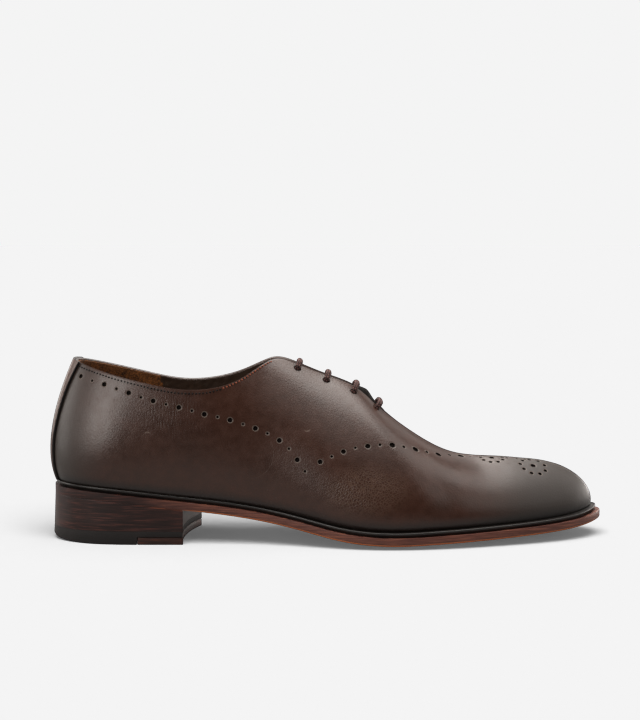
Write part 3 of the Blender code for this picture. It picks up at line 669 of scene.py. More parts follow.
def roundCrest(way, grid):
    # the two sides meet in a soft edge along the ridge over the toes, so their tops are relaxed together
    count, rows = grid.shape[:2]
    density = (rows - 1) / upperCut["riseSteps"]
    step = upperCut["crestWidth"] / upperCut["rowHeight"] * density  # in rows of the grid
    rounds = round(upperCut["crestRounds"] * density**2)
    for i in np.flatnonzero(way[: count // 2] >= throatWay):
        k = count - i
        rib = np.concatenate([grid[i], grid[k][-2::-1]])
        relaxed = relax(rib, rounds)
        fade = np.clip((toeWay - way[i]) / upperCut["crestFade"], 0.0, 1.0)
        fade = fade * np.clip((way[i] - throatWay) / upperCut["throatFade"], 0.0, 1.0)
        weight = fade * np.exp(-(((np.arange(len(rib)) - rows + 1) / step) ** 2))
        rib = rib + weight[:, None] * (relaxed - rib)
        grid[i] = rib[:rows]
        grid[k] = rib[: rows - 2 : -1]
    return grid


def skinGrid(alongStep, riseSteps, short=0.0, under=0.0):
    # short is the share of a rib left off below the collar and the facing, under the depth below the skin
    way = roundWay(alongStep)
    laced = np.minimum(way, 2 * toeWay - way) < throatWay
    rise = np.linspace(0.0, 1.0, riseSteps + 1)[None, :] * np.where(laced, 1.0 - short, 1.0)[:, None]
    way = way[:, None]
    grid = skinPoint(way, rise)
    grid = grid + skinNormal(way, rise) * (foldHeight(grid)[..., None] - under)
    ridge = (grid[:, -1] + np.roll(grid[::-1, -1], 1, axis=0)) / 2  # both sides share the ridge over the toes
    grid[~laced, -1] = relax(ridge[~laced], upperCut["ridgeRounds"])
    return roundCrest(way[:, 0], grid)


# A fine net over the skin in which places are looked up
net = {"ways": 2000, "rises": 220, "crestFrom": 0.35}  # places on the crest are looked for above this rise
searchWay = np.linspace(0.0, 2 * toeWay, net["ways"])
searchRise = np.linspace(0.0, 1.0, net["rises"])
searchPoints = skinPoint(searchWay[:, None], searchRise[None, :])
outerHalf = searchWay <= toeWay
toeNet = (searchWay > throatWay) & (searchWay < 2 * toeWay - throatWay)


def skinPlace(x, z, inner=False):  # way and rise of the point of one side with this X and Z
    points = searchPoints[outerHalf]
    miss = np.hypot(points[..., 0] - x, points[..., 2] - z)
    i, j = np.unravel_index(miss.argmin(), miss.shape)
    found = float(searchWay[i])
    return (2 * toeWay - found if inner else found), float(searchRise[j])


def crestPlace(x, off):
    # way and rise of a point over the toes, this far round from the ridge; off < 0 is on the outer side
    around = searchWay[toeNet & (outerHalf if off <= 0 else ~outerHalf)]
    rise = searchRise[searchRise > net["crestFrom"]]
    points = skinPoint(around[:, None], rise[None, :])
    down = np.linalg.norm(np.diff(points, axis=1), axis=-1)[:, ::-1].cumsum(axis=1)[:, ::-1]
    down = np.concatenate([down, np.zeros((len(around), 1))], axis=1)
    miss = np.hypot(points[..., 0] - x, down - abs(off))
    i, j = np.unravel_index(miss.argmin(), miss.shape)
    return float(around[i]), float(rise[j])


def eyeletPlaces():  # for each eyelet: way of the facing edge beside it, and its own way and rise
    places = []
    along = np.linspace(stations[last["facingTop"]], throatWay, last["scan"])
    span, wayCount = upperCut["eyeletWays"]
    lowest, riseCount = upperCut["eyeletRises"]
    rises = np.linspace(lowest, 1.0, riseCount)[None, :]
    for x, setBack in zip(upperCut["eyeletX"], upperCut["eyeletSets"]):
        outer = float(np.interp(x + last["centre"][0], columnsAt(along)["topX"], along))
        for edge in (outer, 2 * toeWay - outer):
            run = skinPoint(edge + last["nudge"], 1.0) - skinPoint(edge - last["nudge"], 1.0)
            run = run * np.array([1.0, 0.0, 1.0]) / np.hypot(run[0], run[2])
            ways = edge + np.linspace(-span, span, wayCount)[:, None]
            reach = skinPoint(ways, rises) - skinPoint(edge, 1.0)
            miss = np.abs(np.linalg.norm(reach, axis=-1) - setBack) + np.abs(reach @ run)
            i, j = np.unravel_index(miss.argmin(), miss.shape)
            places.append((edge, float(ways[i, 0]), float(rises[0, j])))
    return places


eyelets = eyeletPlaces()

# Punched decoration: a line of large and small holes from the back strip to a point under the laces and on
# over the vamp, then a medallion on the toe. Points are X and Z on the outer side, repeated on the inner side
punching = {
    "largeRadius": 1.3, "smallRadius": 0.7, "heartRadius": 1.5, "petalRadius": 1.05, "depth": 1.0,
    "rimWidth": 0.75, "rimDepth": 0.12, "rimSoft": 0.35,  # share of the rim that slopes down more steeply
    "rimLift": 0.04, "clear": 1.5,  # how far the rim's slope passes the skin, and the punch stands out of it
    "eyeletDepth": 3.0, "eyeletRim": (0.3, 0.25, 0.05),  # an eyelet's rim: width, depth and lift
    "backLine": ((-134.3, 89.4), (-122, 86), (-108, 81.7), (-95, 77.8), (-80, 74.2), (-66.5, 70.7),
                 (-52, 67.3), (-37, 62.2), (-24.6, 56.1), (-16, 47.2), (-11.6, 40.7)),
    "backCount": 20,
    "frontLine": ((-3.3, 45.9), (7.4, 50.5), (20.5, 53.6), (34, 54.2), (48.4, 50.7), (61.8, 47),
                  (74.3, 44.6)),
    "frontCount": 13, "linePoints": 600,
    "growth": ((15.0, 1.0), (45.0, 1.4)),  # X, and how much larger the punch is there
    "rearFlower": (91.7, -4.6), "rearRing": 6.2,
    "frontFlower": (114.0, -12.0, 14.0), "frontRing": 7.2, "petals": 9,
    "links": (79.5, 100.0, 105.6, 110.0), "linkOff": -3.0,
    "sides": 20, "upright": 0.9,  # from here on a normal counts as upright
}


def alongLine(line, count):  # evenly spaced points on a smooth curve through the line's points
    curve, length = smoothCurve(line, 1.0, punching["linePoints"])
    return pointsAt(curve, length, np.linspace(0.0, length[-1], count))


def flowerPlaces(x, off, ring):  # a centre hole and a ring of petals lying on the leather
    centre, normal = skinAt(*crestPlace(x, off))
    ahead = unit(xAxis - normal * normal[0])
    side = np.cross(normal, ahead)
    places = [(centre, normal, punching["heartRadius"])]
    for k in range(punching["petals"]):
        turn = 2 * math.pi * (k + 0.5) / punching["petals"]
        spot = centre + ring * (math.cos(turn) * ahead + math.sin(turn) * side)
        places.append((*dropOn(spot), punching["petalRadius"]))
    return places


def dropOn(spot):  # the nearest point of the skin to a point near it, with its normal
    points = searchPoints[toeNet]
    i, j = np.unravel_index(np.linalg.norm(points - spot, axis=-1).argmin(), points.shape[:2])
    return points[i, j], skinNormal(searchWay[toeNet][i], searchRise[j])


def punchPlaces():
    places = []
    lines = ((punching["backLine"], punching["backCount"]), (punching["frontLine"], punching["frontCount"]))
    for line, count in lines:
        for k, (x, z) in enumerate(alongLine(line, count)):
            radius = punching["largeRadius"] if k % 2 == 0 else punching["smallRadius"]
            radius = radius * np.interp(x, *zip(*punching["growth"]))
            for inner in (False, True):
                places.append((*skinAt(*skinPlace(x, z, inner)), radius))
    for x in punching["links"]:
        places.append((*skinAt(*crestPlace(x, punching["linkOff"])), punching["smallRadius"]))
    places += flowerPlaces(*punching["rearFlower"], punching["rearRing"])
    for off in punching["frontFlower"][1:]:
        places += flowerPlaces(punching["frontFlower"][0], off, punching["frontRing"])
    return places


def turnedPunch(places, sides):
    # one mesh of turned punches, each with its centre, normal and profile: radius, height and material
    points, faces, marks = [], [], []
    angles = np.linspace(0.0, 2 * math.pi, sides, endpoint=False)
    for centre, normal, profile in places:
        upright = abs(normal[2]) >= punching["upright"]
        across = unit(np.cross(xAxis if upright else zAxis, normal))
        other = np.cross(normal, across)
        start = len(points)
        for radius, height, _ in profile:
            for angle in angles:
                spoke = math.cos(angle) * across + math.sin(angle) * other
                points.append(centre + normal * height + radius * spoke)
        for ring in range(len(profile) - 1):
            for k in range(sides):
                a, b = start + ring * sides + k, start + ring * sides + (k + 1) % sides
                faces.append((a, b, b + sides, a + sides))
                marks.append(profile[ring + 1][2])
        faces.append([start + k for k in range(sides)][::-1])
        marks.append(profile[0][2])
        faces.append([start + (len(profile) - 1) * sides + k for k in range(sides)])
        marks.append(0)
    return points, faces, marks


def markHeights(piece):
    # keeps the height of each point above the welt, in millimetres, for the painted shade that darkens the
    # leather there
    places = np.zeros(len(piece.data.vertices) * 3)
    piece.data.vertices.foreach_get("co", places)
    places = places.reshape(-1, 3) / mm
    foot = columnsAt(np.linspace(0.0, toeWay, last["scan"]))
    heights = places[:, 2] - np.interp(places[:, 0], foot["x"], foot["z"])
    piece.data.attributes.new("aboveWelt", "FLOAT", "POINT").data.foreach_set("value", heights)


def makeUpper():
    grid = skinGrid(upperCut["alongStep"], upperCut["riseSteps"])
    upper = gridPiece("upper_leather", grid, closedRows=True)
    mergePoints(upper)
    applyModifier(upper, "SOLIDIFY", thickness=upperCut["outerLeather"] * mm, offset=-1.0)
    roundEdges(upper, upperCut["rimRound"])
    leathers = (upperCalf, rimHighlightCalf, holeShadeBlack)  # the profiles number them in this order
    giveMaterials(upper, *leathers)
    punched = []
    lift, clear = punching["rimLift"], punching["clear"]
    for centre, normal, radius in punchPlaces():
        soft, wide = radius + punching["rimSoft"] * punching["rimWidth"], radius + punching["rimWidth"]
        # in a profile, 2 marks the painted shade down in the hole, 1 the painted highlight on its rim, 0 the
        # plain leather
        profile = (
            (radius, -punching["depth"], 2), (radius, -punching["rimDepth"], 2), (soft, -lift, 1),
            (wide, lift, 1), (wide, clear, 0),
        )
        punched.append((centre, normal, profile))
    radius, (width, depth, lift) = upperCut["eyeletRadius"], punching["eyeletRim"]
    wide = radius + width
    profile = ((radius, -punching["eyeletDepth"], 2), (radius, -depth, 2), (wide, lift, 1), (wide, clear, 0))
    for _, way, rise in eyelets:
        punched.append((*skinAt(way, rise), profile))
    points, faces, marks = turnedPunch(punched, punching["sides"])
    punches = meshPiece("punches", points, faces)
    giveMaterials(punches, *leathers)
    punches.data.polygons.foreach_set("material_index", marks)
    faceOutwards(punches)
    applyModifier(upper, "BOOLEAN", operation="DIFFERENCE", solver="MANIFOLD", object=punches)
    bpy.data.objects.remove(punches, do_unlink=True)
    markHeights(upper)
    return dress(upper, (), ("upper",), angle=28.0)


upperPiece = makeUpper()
print("upper cut and punched:", len(upperPiece.data.polygons), "faces")


# Lining: thin leather inside the upper, near black, with a suede grip round the heel
liningCut = {
    "under": 1.25, "thick": 0.7, "alongStep": 1.25, "riseSteps": 36, "short": 0.006,
    "gripEnd": -93.0, "gripWave": 0.9, "gripWaveLength": 11.0,
}


def makeLining():
    grid = skinGrid(liningCut["alongStep"], liningCut["riseSteps"], liningCut["short"], liningCut["under"])
    lining = gridPiece("lining", grid, closedRows=True)
    mergePoints(lining)
    applyModifier(lining, "SOLIDIFY", thickness=liningCut["thick"] * mm, offset=-1.0)
    dark = plainLeather("lining_leather_dark", "#231a15", "#443429", 0.42, 6.0, 3.2, 1.7)
    giveMaterials(lining, dark, suedeNap())
    for face in lining.data.polygons:
        wave = math.sin(2 * math.pi * face.center.z / (liningCut["gripWaveLength"] * mm))
        end = liningCut["gripEnd"] + liningCut["gripWave"] * wave
        face.material_index = 1 if face.center.x < end * mm else 0
    return dress(lining, ())


# Tongue: soft leather under the facing that swells up between the lace bars, near black and matt as painted
# shade in the lacing gap
tongueCut = {
    "wall": 2.0, "clear": 0.7, "thick": 1.8, "low": 0.62, "ends": (7.45, 13.25), "rows": 120,
    "sideColumns": 22, "bridgeColumns": 13, "edgeRound": 0.5, "crownRounds": 6,
    "crown": ((7.4, 1.4), (8.3, 2.0), (9.95, 2.8), (10.35, 5.2), (10.7, 7.0), (11.1, 4.4), (11.5, 4.4),
              (11.7, 3.0), (12.0, 0.0)),
}


def makeTongue():
    sections = np.linspace(*tongueCut["ends"], tongueCut["rows"])
    way = np.interp(sections, np.arange(len(stations)), stations)
    crown = np.interp(sections, *zip(*tongueCut["crown"]))
    crown = relax(crown, tongueCut["crownRounds"])  # eases the corners of the table
    shut = way >= throatWay
    crown[shut] = 0.0
    rise = np.linspace(tongueCut["low"], 1.0, tongueCut["sideColumns"])
    share = np.linspace(0.0, 1.0, tongueCut["bridgeColumns"] + 2)[None, 1:-1, None]
    faces = []
    upper = tongueCut["wall"] + tongueCut["clear"]
    for depth in (upper, upper + tongueCut["thick"]):
        outer, inner = [
            skinPoint(side[:, None], rise) - skinNormal(side[:, None], rise) * depth
            for side in (way, 2 * toeWay - way)
        ]
        middle = (outer[:, -1] + inner[:, -1]) / 2
        outer[shut, -1] = middle[shut]
        inner[shut, -1] = middle[shut]
        bridge = outer[:, -1:] * (1 - share) + inner[:, -1:] * share
        bridge[..., 2] += crown[:, None] * np.sin(math.pi * share[..., 0])
        faces.append(np.concatenate([outer, bridge, inner[:, ::-1]], axis=1))
    tongue = gridSolid("tongue_leather", *faces)
    roundEdges(tongue, tongueCut["edgeRound"])
    # painted shade: near black and matt, for the tongue seen in the shaded gap between the facings
    leather = plainLeather("tongue_leather_painted_shade", "#080605", "#110c0a", 0.7, 4.0, 0.8, 0.25, gloss=0.12)
    return dress(tongue, (leather,), ("tongue",))


# Strip up the back seam: its face like the upper, its cut edges dyed black, and the black carried on as
# painted shade along its sides
backStrip = {
    "half": ((0.0, 8.0), (0.25, 10.3), (0.6, 10.0), (1.0, 7.8)), "foot": 0.0, "lift": 0.3, "thick": 1.3,
    "rows": 64, "columns": 18, "blackEdge": 0.12, "edgeRound": 0.3,
    # the black is partly the dyed cut edge and partly painted shade beside the strip
    "sideways": 0.8, "backwards": 0.2,  # turned further to the side, or less to the back, a face is black
}


def makeBackStrip():
    rise = np.linspace(backStrip["foot"], 1.0, backStrip["rows"])
    half = np.interp(rise, *zip(*backStrip["half"]))
    nudged = skinPoint(last["nudge"], rise) - skinPoint(-last["nudge"], rise)
    speed = np.linalg.norm(nudged, axis=-1) / (2 * last["nudge"])
    edge = 1.0 - backStrip["blackEdge"] / half.mean()
    share = np.concatenate([[-1.0], np.linspace(-edge, edge, backStrip["columns"]), [1.0]])
    way = share[:, None] * (half / speed)[None, :]
    rise = np.broadcast_to(rise, way.shape)
    skin, normal = skinAt(way, rise)
    under = skin + normal * backStrip["lift"]
    over = skin + normal * (backStrip["lift"] + backStrip["thick"])
    strip = gridSolid("back_strip_leather", over, under)
    roundEdges(strip, backStrip["edgeRound"])
    brown = plainLeather("calf_leather_strip", "#3a241b", "#493127", 0.4, 9.0, 0.8, 0.1)
    black = plainLeather("leather_edge_dyed_black_and_painted_shade", "#0c0a0a", "#181413", 0.5, 3.0, 0.6, 0.1)
    giveMaterials(strip, brown, black)
    # dyed edge and painted shade: faces turned to the side or away from the back take the black
    for face in strip.data.polygons:  # the walls and the lower corner of the edge are black, the face isn't
        side, back = abs(face.normal.y), -face.normal.x
        face.material_index = int(side > backStrip["sideways"] or back < backStrip["backwards"])
    return dress(strip, (), ("back_strip",))


# Sock over the insole board
sockCut = {"inset": 2.6, "rise": 0.8, "gap": 0.3, "welt": 2.3, "step": 4.0, "columns": 20}


def makeSock():
    way = spreadWay(0.0, toeWay, sockCut["step"])
    ways, shares = np.meshgrid(way, np.linspace(0.0, 1.0, sockCut["columns"] + 1), indexing="ij")
    plan, height = acrossSole(ways, -sockCut["inset"], shares), columnsAt(ways)["z"]
    over = withHeight(plan, height + sockCut["rise"])
    under = withHeight(plan, height - sockCut["gap"] - sockCut["welt"])
    sock = gridSolid("sock", over, under)
    leather = plainLeather("sock_leather_brown", "#3a2516", "#54371f", 0.6, 9.0, 0.7, 0.15)
    return dress(sock, (leather,), ("insole",))


# Welt: waxed black strip with its upper edge rubbed round, which catches a grey line of light
weltCut = {
    "thick": 2.3, "lap": 2.2, "gap": 0.3, "step": 2.2, "setBack": 0.7, "toeSet": 1.7, "toeLength": 26.0,
    # profile of the outer edge: offset from the welt's edge, and height below its top; it is undercut
    "edge": ((-0.5, 0.0), (-0.25, 0.05), (-0.07, 0.2), (0.0, 0.45), (0.0, 0.75), (-0.15, 1.1),
             (-0.6, 1.5), (-0.9, 2.3)),
}


def toeTip(way):  # 1 at the tip of the toe, easing to 0 along both sides
    tip = np.clip(1 - np.abs(way - toeWay) / weltCut["toeLength"], 0.0, 1.0)
    return tip * tip * (3 - 2 * tip)


def makeWelt():
    way = roundWay(weltCut["step"])
    c = columnsAt(way)
    top = c["z"] - weltCut["gap"]
    inside = -weltCut["lap"] + 0 * way
    setBack = weltCut["setBack"] + weltCut["toeSet"] * toeTip(way)
    columns = [(c["welt"] - setBack + offset, drop) for offset, drop in weltCut["edge"]]
    columns = [(inside, 0.0), *columns, (inside, weltCut["thick"])]
    grid = np.stack([withHeight(edgePoint(way, outset), top - drop) for outset, drop in columns], axis=1)
    welt = gridPiece("welt_strip", grid, closedRows=True, closedCols=True)
    faceOutwards(welt)
    leather = plainLeather("welt_leather_waxed_black", "#0b0a09", "#171412", 0.32, 5.0, 0.9, 0.08)
    return dress(welt, (leather,), ("welt",))


# Outsole: leather board, its edge stained red brown and its lower edge bevelled down to the natural tan
soleCut = {
    "edgeHeight": 4.4, "gap": 0.3, "step": 2.2, "columns": 26, "topSkip": 3,
    # profile of the edge: offset from the sole's edge, and height above its bottom
    "edge": ((-0.35, 4.4), (-0.06, 4.25), (0.0, 3.9), (0.0, 2.4), (-0.02, 0.75), (-0.2, 0.38),
             (-0.6, 0.1), (-1.2, 0.0)),
    "tanFrom": 4,  # rows of the profile from which the tan shows
    "plainTo": -80.0, "bevelFrom": -66.0, "leastBevel": 0.05,  # over the heel the edge is square and stained
    "bevelTo": 2.0,  # height that the lower bevel reaches
    "toeRound": 3.5, "roundFrom": 3.5,  # at the toe the corner above this height is rubbed rounder
}


def soleBottom(way):
    return columnsAt(way)["z"] - 2 * soleCut["gap"] - weltCut["thick"] - soleCut["edgeHeight"]


def makeOutsole():
    way = spreadWay(0.0, toeWay, soleCut["step"])
    c, bottom = columnsAt(way), soleBottom(way)
    sideRows = len(soleCut["edge"])
    shares = np.linspace(0.0, 1.0, soleCut["columns"] + 1)[1:-1]
    bevelled = (c["x"] - soleCut["plainTo"]) / (soleCut["bevelFrom"] - soleCut["plainTo"])
    bevelled = np.clip(bevelled, soleCut["leastBevel"], 1.0)
    rounded = bevelled * (1 + soleCut["toeRound"] * toeTip(way))

    def edgeRow(side, offset, height):
        height = np.where(height < soleCut["bevelTo"], height * bevelled, height)
        inset = offset * (rounded if height.max() > soleCut["roundFrom"] else bevelled)
        return withHeight(edgePoint(side, c["welt"] + inset), bottom + height)

    loop = [edgeRow(way, *row) for row in soleCut["edge"]]
    for share in shares:
        plan = acrossSole(way, c["welt"] + soleCut["edge"][-1][0] * bevelled, np.full(len(way), share))
        loop.append(withHeight(plan, np.maximum(bottom - c["crown"] * 4 * share * (1 - share), 0.0)))
    loop += [edgeRow(2 * toeWay - way, *row) for row in soleCut["edge"][::-1]]
    for share in shares[:: -soleCut["topSkip"]]:
        plan = acrossSole(way, c["welt"] + soleCut["edge"][0][0] * rounded, np.full(len(way), share))
        loop.append(withHeight(plan, bottom + soleCut["edgeHeight"]))
    sole = gridPiece("outsole_leather", np.stack(loop, axis=1), closedCols=True)
    endRow = sideRows * 2 + len(shares) - 1
    tanRows = [int(soleCut["tanFrom"] <= k < endRow - soleCut["tanFrom"]) for k in range(len(loop))]
    sole.data.polygons.foreach_set("material_index", tanRows * (len(way) - 1))
    for face in sole.data.polygons:
        if face.center.x < soleCut["plainTo"] * mm:
            face.material_index = 0
    stained = streakedEdge("sole_edge_stained", soleTones, 0.45, stackTones)
    tan = plainLeather("sole_leather_tan", "#a05228", "#c8763e", 0.55, 12.0, 1.2, 0.12)
    giveMaterials(sole, stained, tan)
    mergePoints(sole)
    faceOutwards(sole)
    return dress(sole, (), ("outsole",))


# Heel: leather lifts rubbed and waxed until no joint shows, a rubber top lift and the leather tip let into
# its front
heelCut = {
    "rubber": 7.0, "gap": 0.3, "flare": 0.9, "breastOuter": -78.0, "breastInner": -72.0, "breastHollow": 3.5,
    "tipLength": 25.0, "tipHeight": 3.8, "slant": 0.3, "backRoll": 3.8, "backRollLength": 45.0,
    "backRollCurve": 2.4, "close": 0.04, "edgeRound": 0.25, "rows": 44, "columns": 22, "frontSkip": 4,
    "wallStep": 1.6, "breastColumns": 26, "waistSection": 6, "scan": 500,
    "seamBands": 2,  # the topmost bands of the wall, under the sole, are rubbed redder
    # share of the wall's height, and how far it is set in there
    "wall": ((0.0, 0.06), (0.01, 0.0), (0.25, 0.0), (0.5, 0.0), (0.75, 0.0), (0.955, 0.0), (0.99, 0.0),
             (1.0, 0.03)),
}


def breastReach(share):  # way along the outer side at which the heel ends, for each share across
    front = heelCut["breastOuter"] * (1 - share) + heelCut["breastInner"] * share
    front = front - heelCut["breastHollow"] * 4 * share * (1 - share)
    along = np.linspace(0.0, stations[heelCut["waistSection"]], heelCut["scan"])
    return np.interp(front + last["centre"][0], columnsAt(along)["x"], along)


def heelFlare(height):
    return heelCut["flare"] * (1 - height / soleBottom(0.0))


def heelPlan(first, end, height):
    share = np.linspace(0.0, 1.0, heelCut["columns"] + 1)
    ways = np.linspace(first, end, heelCut["rows"] + 1)[:, None] * breastReach(share)[None, :]
    shares = np.broadcast_to(share, ways.shape)
    return ways, acrossSole(ways, columnsAt(ways)["welt"] + heelFlare(height), shares)


def makeHeelStack():
    outer, inner = [
        spreadWay(0.0, float(breastReach(np.array(side))), heelCut["wallStep"]) for side in (0.0, 1.0)
    ]
    share = np.linspace(1.0, 0.0, heelCut["breastColumns"])[1:-1]
    around = np.concatenate([outer[::-1], inner[1:], breastReach(share)])
    shares = np.concatenate([0 * outer, 0 * inner[1:] + 1, share])
    top = soleBottom(around) - heelCut["close"]
    floor = heelCut["rubber"] + heelCut["close"]
    rings = [(floor + (top - floor) * part, inset) for part, inset in heelCut["wall"]]
    grid = []
    for height, inset in rings:
        plan = acrossSole(around, columnsAt(around)["welt"] + heelFlare(height) - inset, shares)
        grid.append(withHeight(plan, height))
    count = len(around)
    faces = [*gridFaces(len(grid), count, closedCols=True)]
    faces += [range(count), range((len(grid) - 1) * count, len(grid) * count)]
    stack = meshPiece("heel_stack", np.concatenate(grid), faces)
    faceOutwards(stack)
    giveMaterials(stack, streakedEdge("heel_leather_stacked", stackTones, 0.42),
                  streakedEdge("heel_leather_seam", seamTones, 0.42, stackTones))
    bands = len(grid) - 1
    for face in list(stack.data.polygons)[(bands - heelCut["seamBands"]) * count : bands * count]:
        face.material_index = 1
    applyModifier(stack, "TRIANGULATE", ngon_method="BEAUTY", min_vertices=5)
    return dress(stack, (), ("heel_lift_1", "heel_lift_2", "heel_lift_3"))


def makeTopLift():
    length = float(breastReach(np.array(0.0)))
    split, lean = 1 - heelCut["tipLength"] / length, heelCut["slant"] / length
    skip, tipHeight = heelCut["frontSkip"], heelCut["tipHeight"]
    grids = []
    for height in (heelCut["rubber"], 0.0):
        backWays, back = heelPlan(0.0, split, height)
        _, front = heelPlan(split + lean, 1.0, height)
        grids.append(np.concatenate([back, front[::skip]]))
    roll = np.clip(1 - backWays / heelCut["backRollLength"], 0.0, 1.0) ** heelCut["backRollCurve"]
    step = np.full(front[::skip].shape[:2], tipHeight + heelCut["gap"])
    under = withHeight(grids[1], np.concatenate([heelCut["backRoll"] * roll, step]))
    rubber = gridSolid("heel_rubber_lift", withHeight(grids[0], heelCut["rubber"]), under)
    over, under = [
        withHeight(heelPlan(split + 2 * lean, 1.0, height)[1][::skip], height) for height in (tipHeight, 0.0)
    ]
    tip = gridSolid("heel_tip_leather", over, under)
    for piece in (rubber, tip):
        roundEdges(piece, heelCut["edgeRound"], sharp=50.0)
    dress(rubber, (mouldedRubber(),), ("heel_rubber",))
    dress(tip, (streakedEdge("tip_leather_stained", tipTones, 0.6),), ("heel_tip",))


makeLining()
makeTongue()
makeBackStrip()
makeSock()
print("lining, tongue, back strip and sock made")
makeWelt()
makeOutsole()
makeHeelStack()
makeTopLift()
print("welt, sole and heel made")


# Lace: round braided cotton, one straight bar to each pair of eyelets, down through the holes at both ends
laceCut = {
    "radius": 1.62, "flat": 0.78,  # half its width, and how much it is pressed flat on the leather
    "lifts": (1.3, 1.4, 1.9, 2.5), "arch": 0.2, "around": 48, "alongStep": 0.16,
    "routeEase": 0.5, "routePoints": 800,  # how a route is drawn through its points, and how finely
    "strands": 6, "lead": 8.0, "relief": 0.42,
    "dip": 0.4,  # share of its bulge that a strand loses where it dives
    # painted shade: a strand is darkened towards its edges, down between the strands
    "strandShadeCurve": 1.5, "otherTone": 0.6,  # how fast a strand darkens to its edges, tone of those the other way
    # up through the eyelet: height over the leather, and way towards the throat
    "dive": ((-2.6, 0.0), (-0.9, -0.1), (0.75, 0.3)),
    "shoulder": (0.9, 1.7), "halfWay": 0.6,  # share of the lift and way past the eyelet, way past the half
    "rimRise": 0.995,  # rise at which the facing edge's direction is read
}


def braidedCord(name, route):
    curve, length = smoothCurve(route, laceCut["routeEase"], laceCut["routePoints"])
    runs = np.linspace(0.0, length[-1], int(length[-1] / laceCut["alongStep"]))
    centre = pointsAt(curve, length, runs)
    ahead = unit(np.gradient(centre, axis=0))
    turn = np.linspace(0.0, 2 * math.pi, laceCut["around"], endpoint=False)
    side = np.cross(zAxis, ahead[len(ahead) // 2])
    dip, keep = laceCut["dip"], 1 - laceCut["dip"]
    rows, tones = [centre[:1].repeat(len(turn), axis=0)], [np.zeros(len(turn))]
    for spot, way, run in zip(centre, ahead, runs):
        side = unit(side - way * (side @ way))  # carried along so that the braid doesn't twist
        other = np.cross(way, side) * laceCut["flat"]
        u = laceCut["strands"] * (turn / (2 * math.pi) + run / laceCut["lead"])
        v = laceCut["strands"] * (turn / (2 * math.pi) - run / laceCut["lead"])
        acrossU, acrossV = 1 - (2 * np.mod(u, 1) - 1) ** 2, 1 - (2 * np.mod(v, 1) - 1) ** 2
        over = np.mod(np.floor(u) + np.floor(v), 2) == 0
        strandU = np.sqrt(acrossU) * (keep + dip * acrossV)
        strandV = np.sqrt(acrossV) * (keep + dip * acrossU)
        bulge = np.where(over, strandU, strandV)
        radius = laceCut["radius"] - laceCut["relief"] * (1 - bulge)
        rows.append(spot + radius[:, None] * (np.cos(turn)[:, None] * side + np.sin(turn)[:, None] * other))
        # painted shade, darkest down between the strands
        tones.append(bulge ** laceCut["strandShadeCurve"] * np.where(over, 1.0, laceCut["otherTone"]))
    rows.append(centre[-1:].repeat(len(turn), axis=0))
    tones.append(np.zeros(len(turn)))
    cord = gridPiece(name, np.stack(rows), closedCols=True)
    cord.data.attributes.new("strandShade", "FLOAT", "POINT").data.foreach_set("value", np.concatenate(tones))
    mergePoints(cord)
    faceOutwards(cord)
    return cord


def makeLaces():
    cotton = waxedCotton("lace_cotton_waxed", "#190c0b", "#86605a", strands=True)
    high, past = laceCut["shoulder"]
    for pair, lift in enumerate(laceCut["lifts"]):
        ends = []
        for edge, way, rise in eyelets[2 * pair : 2 * pair + 2]:
            eye, out = skinAt(way, rise)
            rim, rimOut = skinPoint(edge, 1.0), skinNormal(edge, laceCut["rimRise"])
            half, halfOut = skinAt((way + edge) / 2, (rise + 1) / 2)
            to = unit(rim - eye)
            route = [eye + out * over + to * near for over, near in laceCut["dive"]]
            route += [eye + out * lift * high + to * past]
            route += [half + halfOut * lift + to * laceCut["halfWay"], rim + rimOut * lift]
            ends.append(route)
        middle = (ends[0][-1] + ends[1][-1]) / 2 + zAxis * laceCut["arch"]
        cord = braidedCord(f"lace_{pair + 1}", [*ends[0], middle, *ends[1][::-1]])
        dress(cord, (cotton,), (f"lace_bar_{pair + 1}",), angle=60.0)


# Thread: small waxed stitches in one joined mesh to a row
stitching = {
    "below": ((-62.0, 2.1), (-46.0, 1.2)),  # X, and how far below the edge the row runs
    # the groove width and lift belong to the dark strip of painted shade under the rust stitches
    "pitch": 1.9, "length": 1.1, "width": 1.0, "height": 0.45, "sides": 6, "grooveShadeWidth": 0.6, "grooveShadeLift": 0.03,
    "rustFrom": -57.0, "rustTo": -30.0,  # where the row along the collar shows rust instead of dark brown
    "firstWay": 5.0, "past": 6.0, "scan": 3000,  # way of its start, way past the facing's top, places tried
    # rings of one stitch: place along it, and share of the width
    "rings": ((-0.5, 0.25), (-0.3, 0.9), (0.0, 1.0), (0.3, 0.9), (0.5, 0.25)),
}


def isRust(spot):
    return int(stitching["rustFrom"] < spot[0] < stitching["rustTo"])


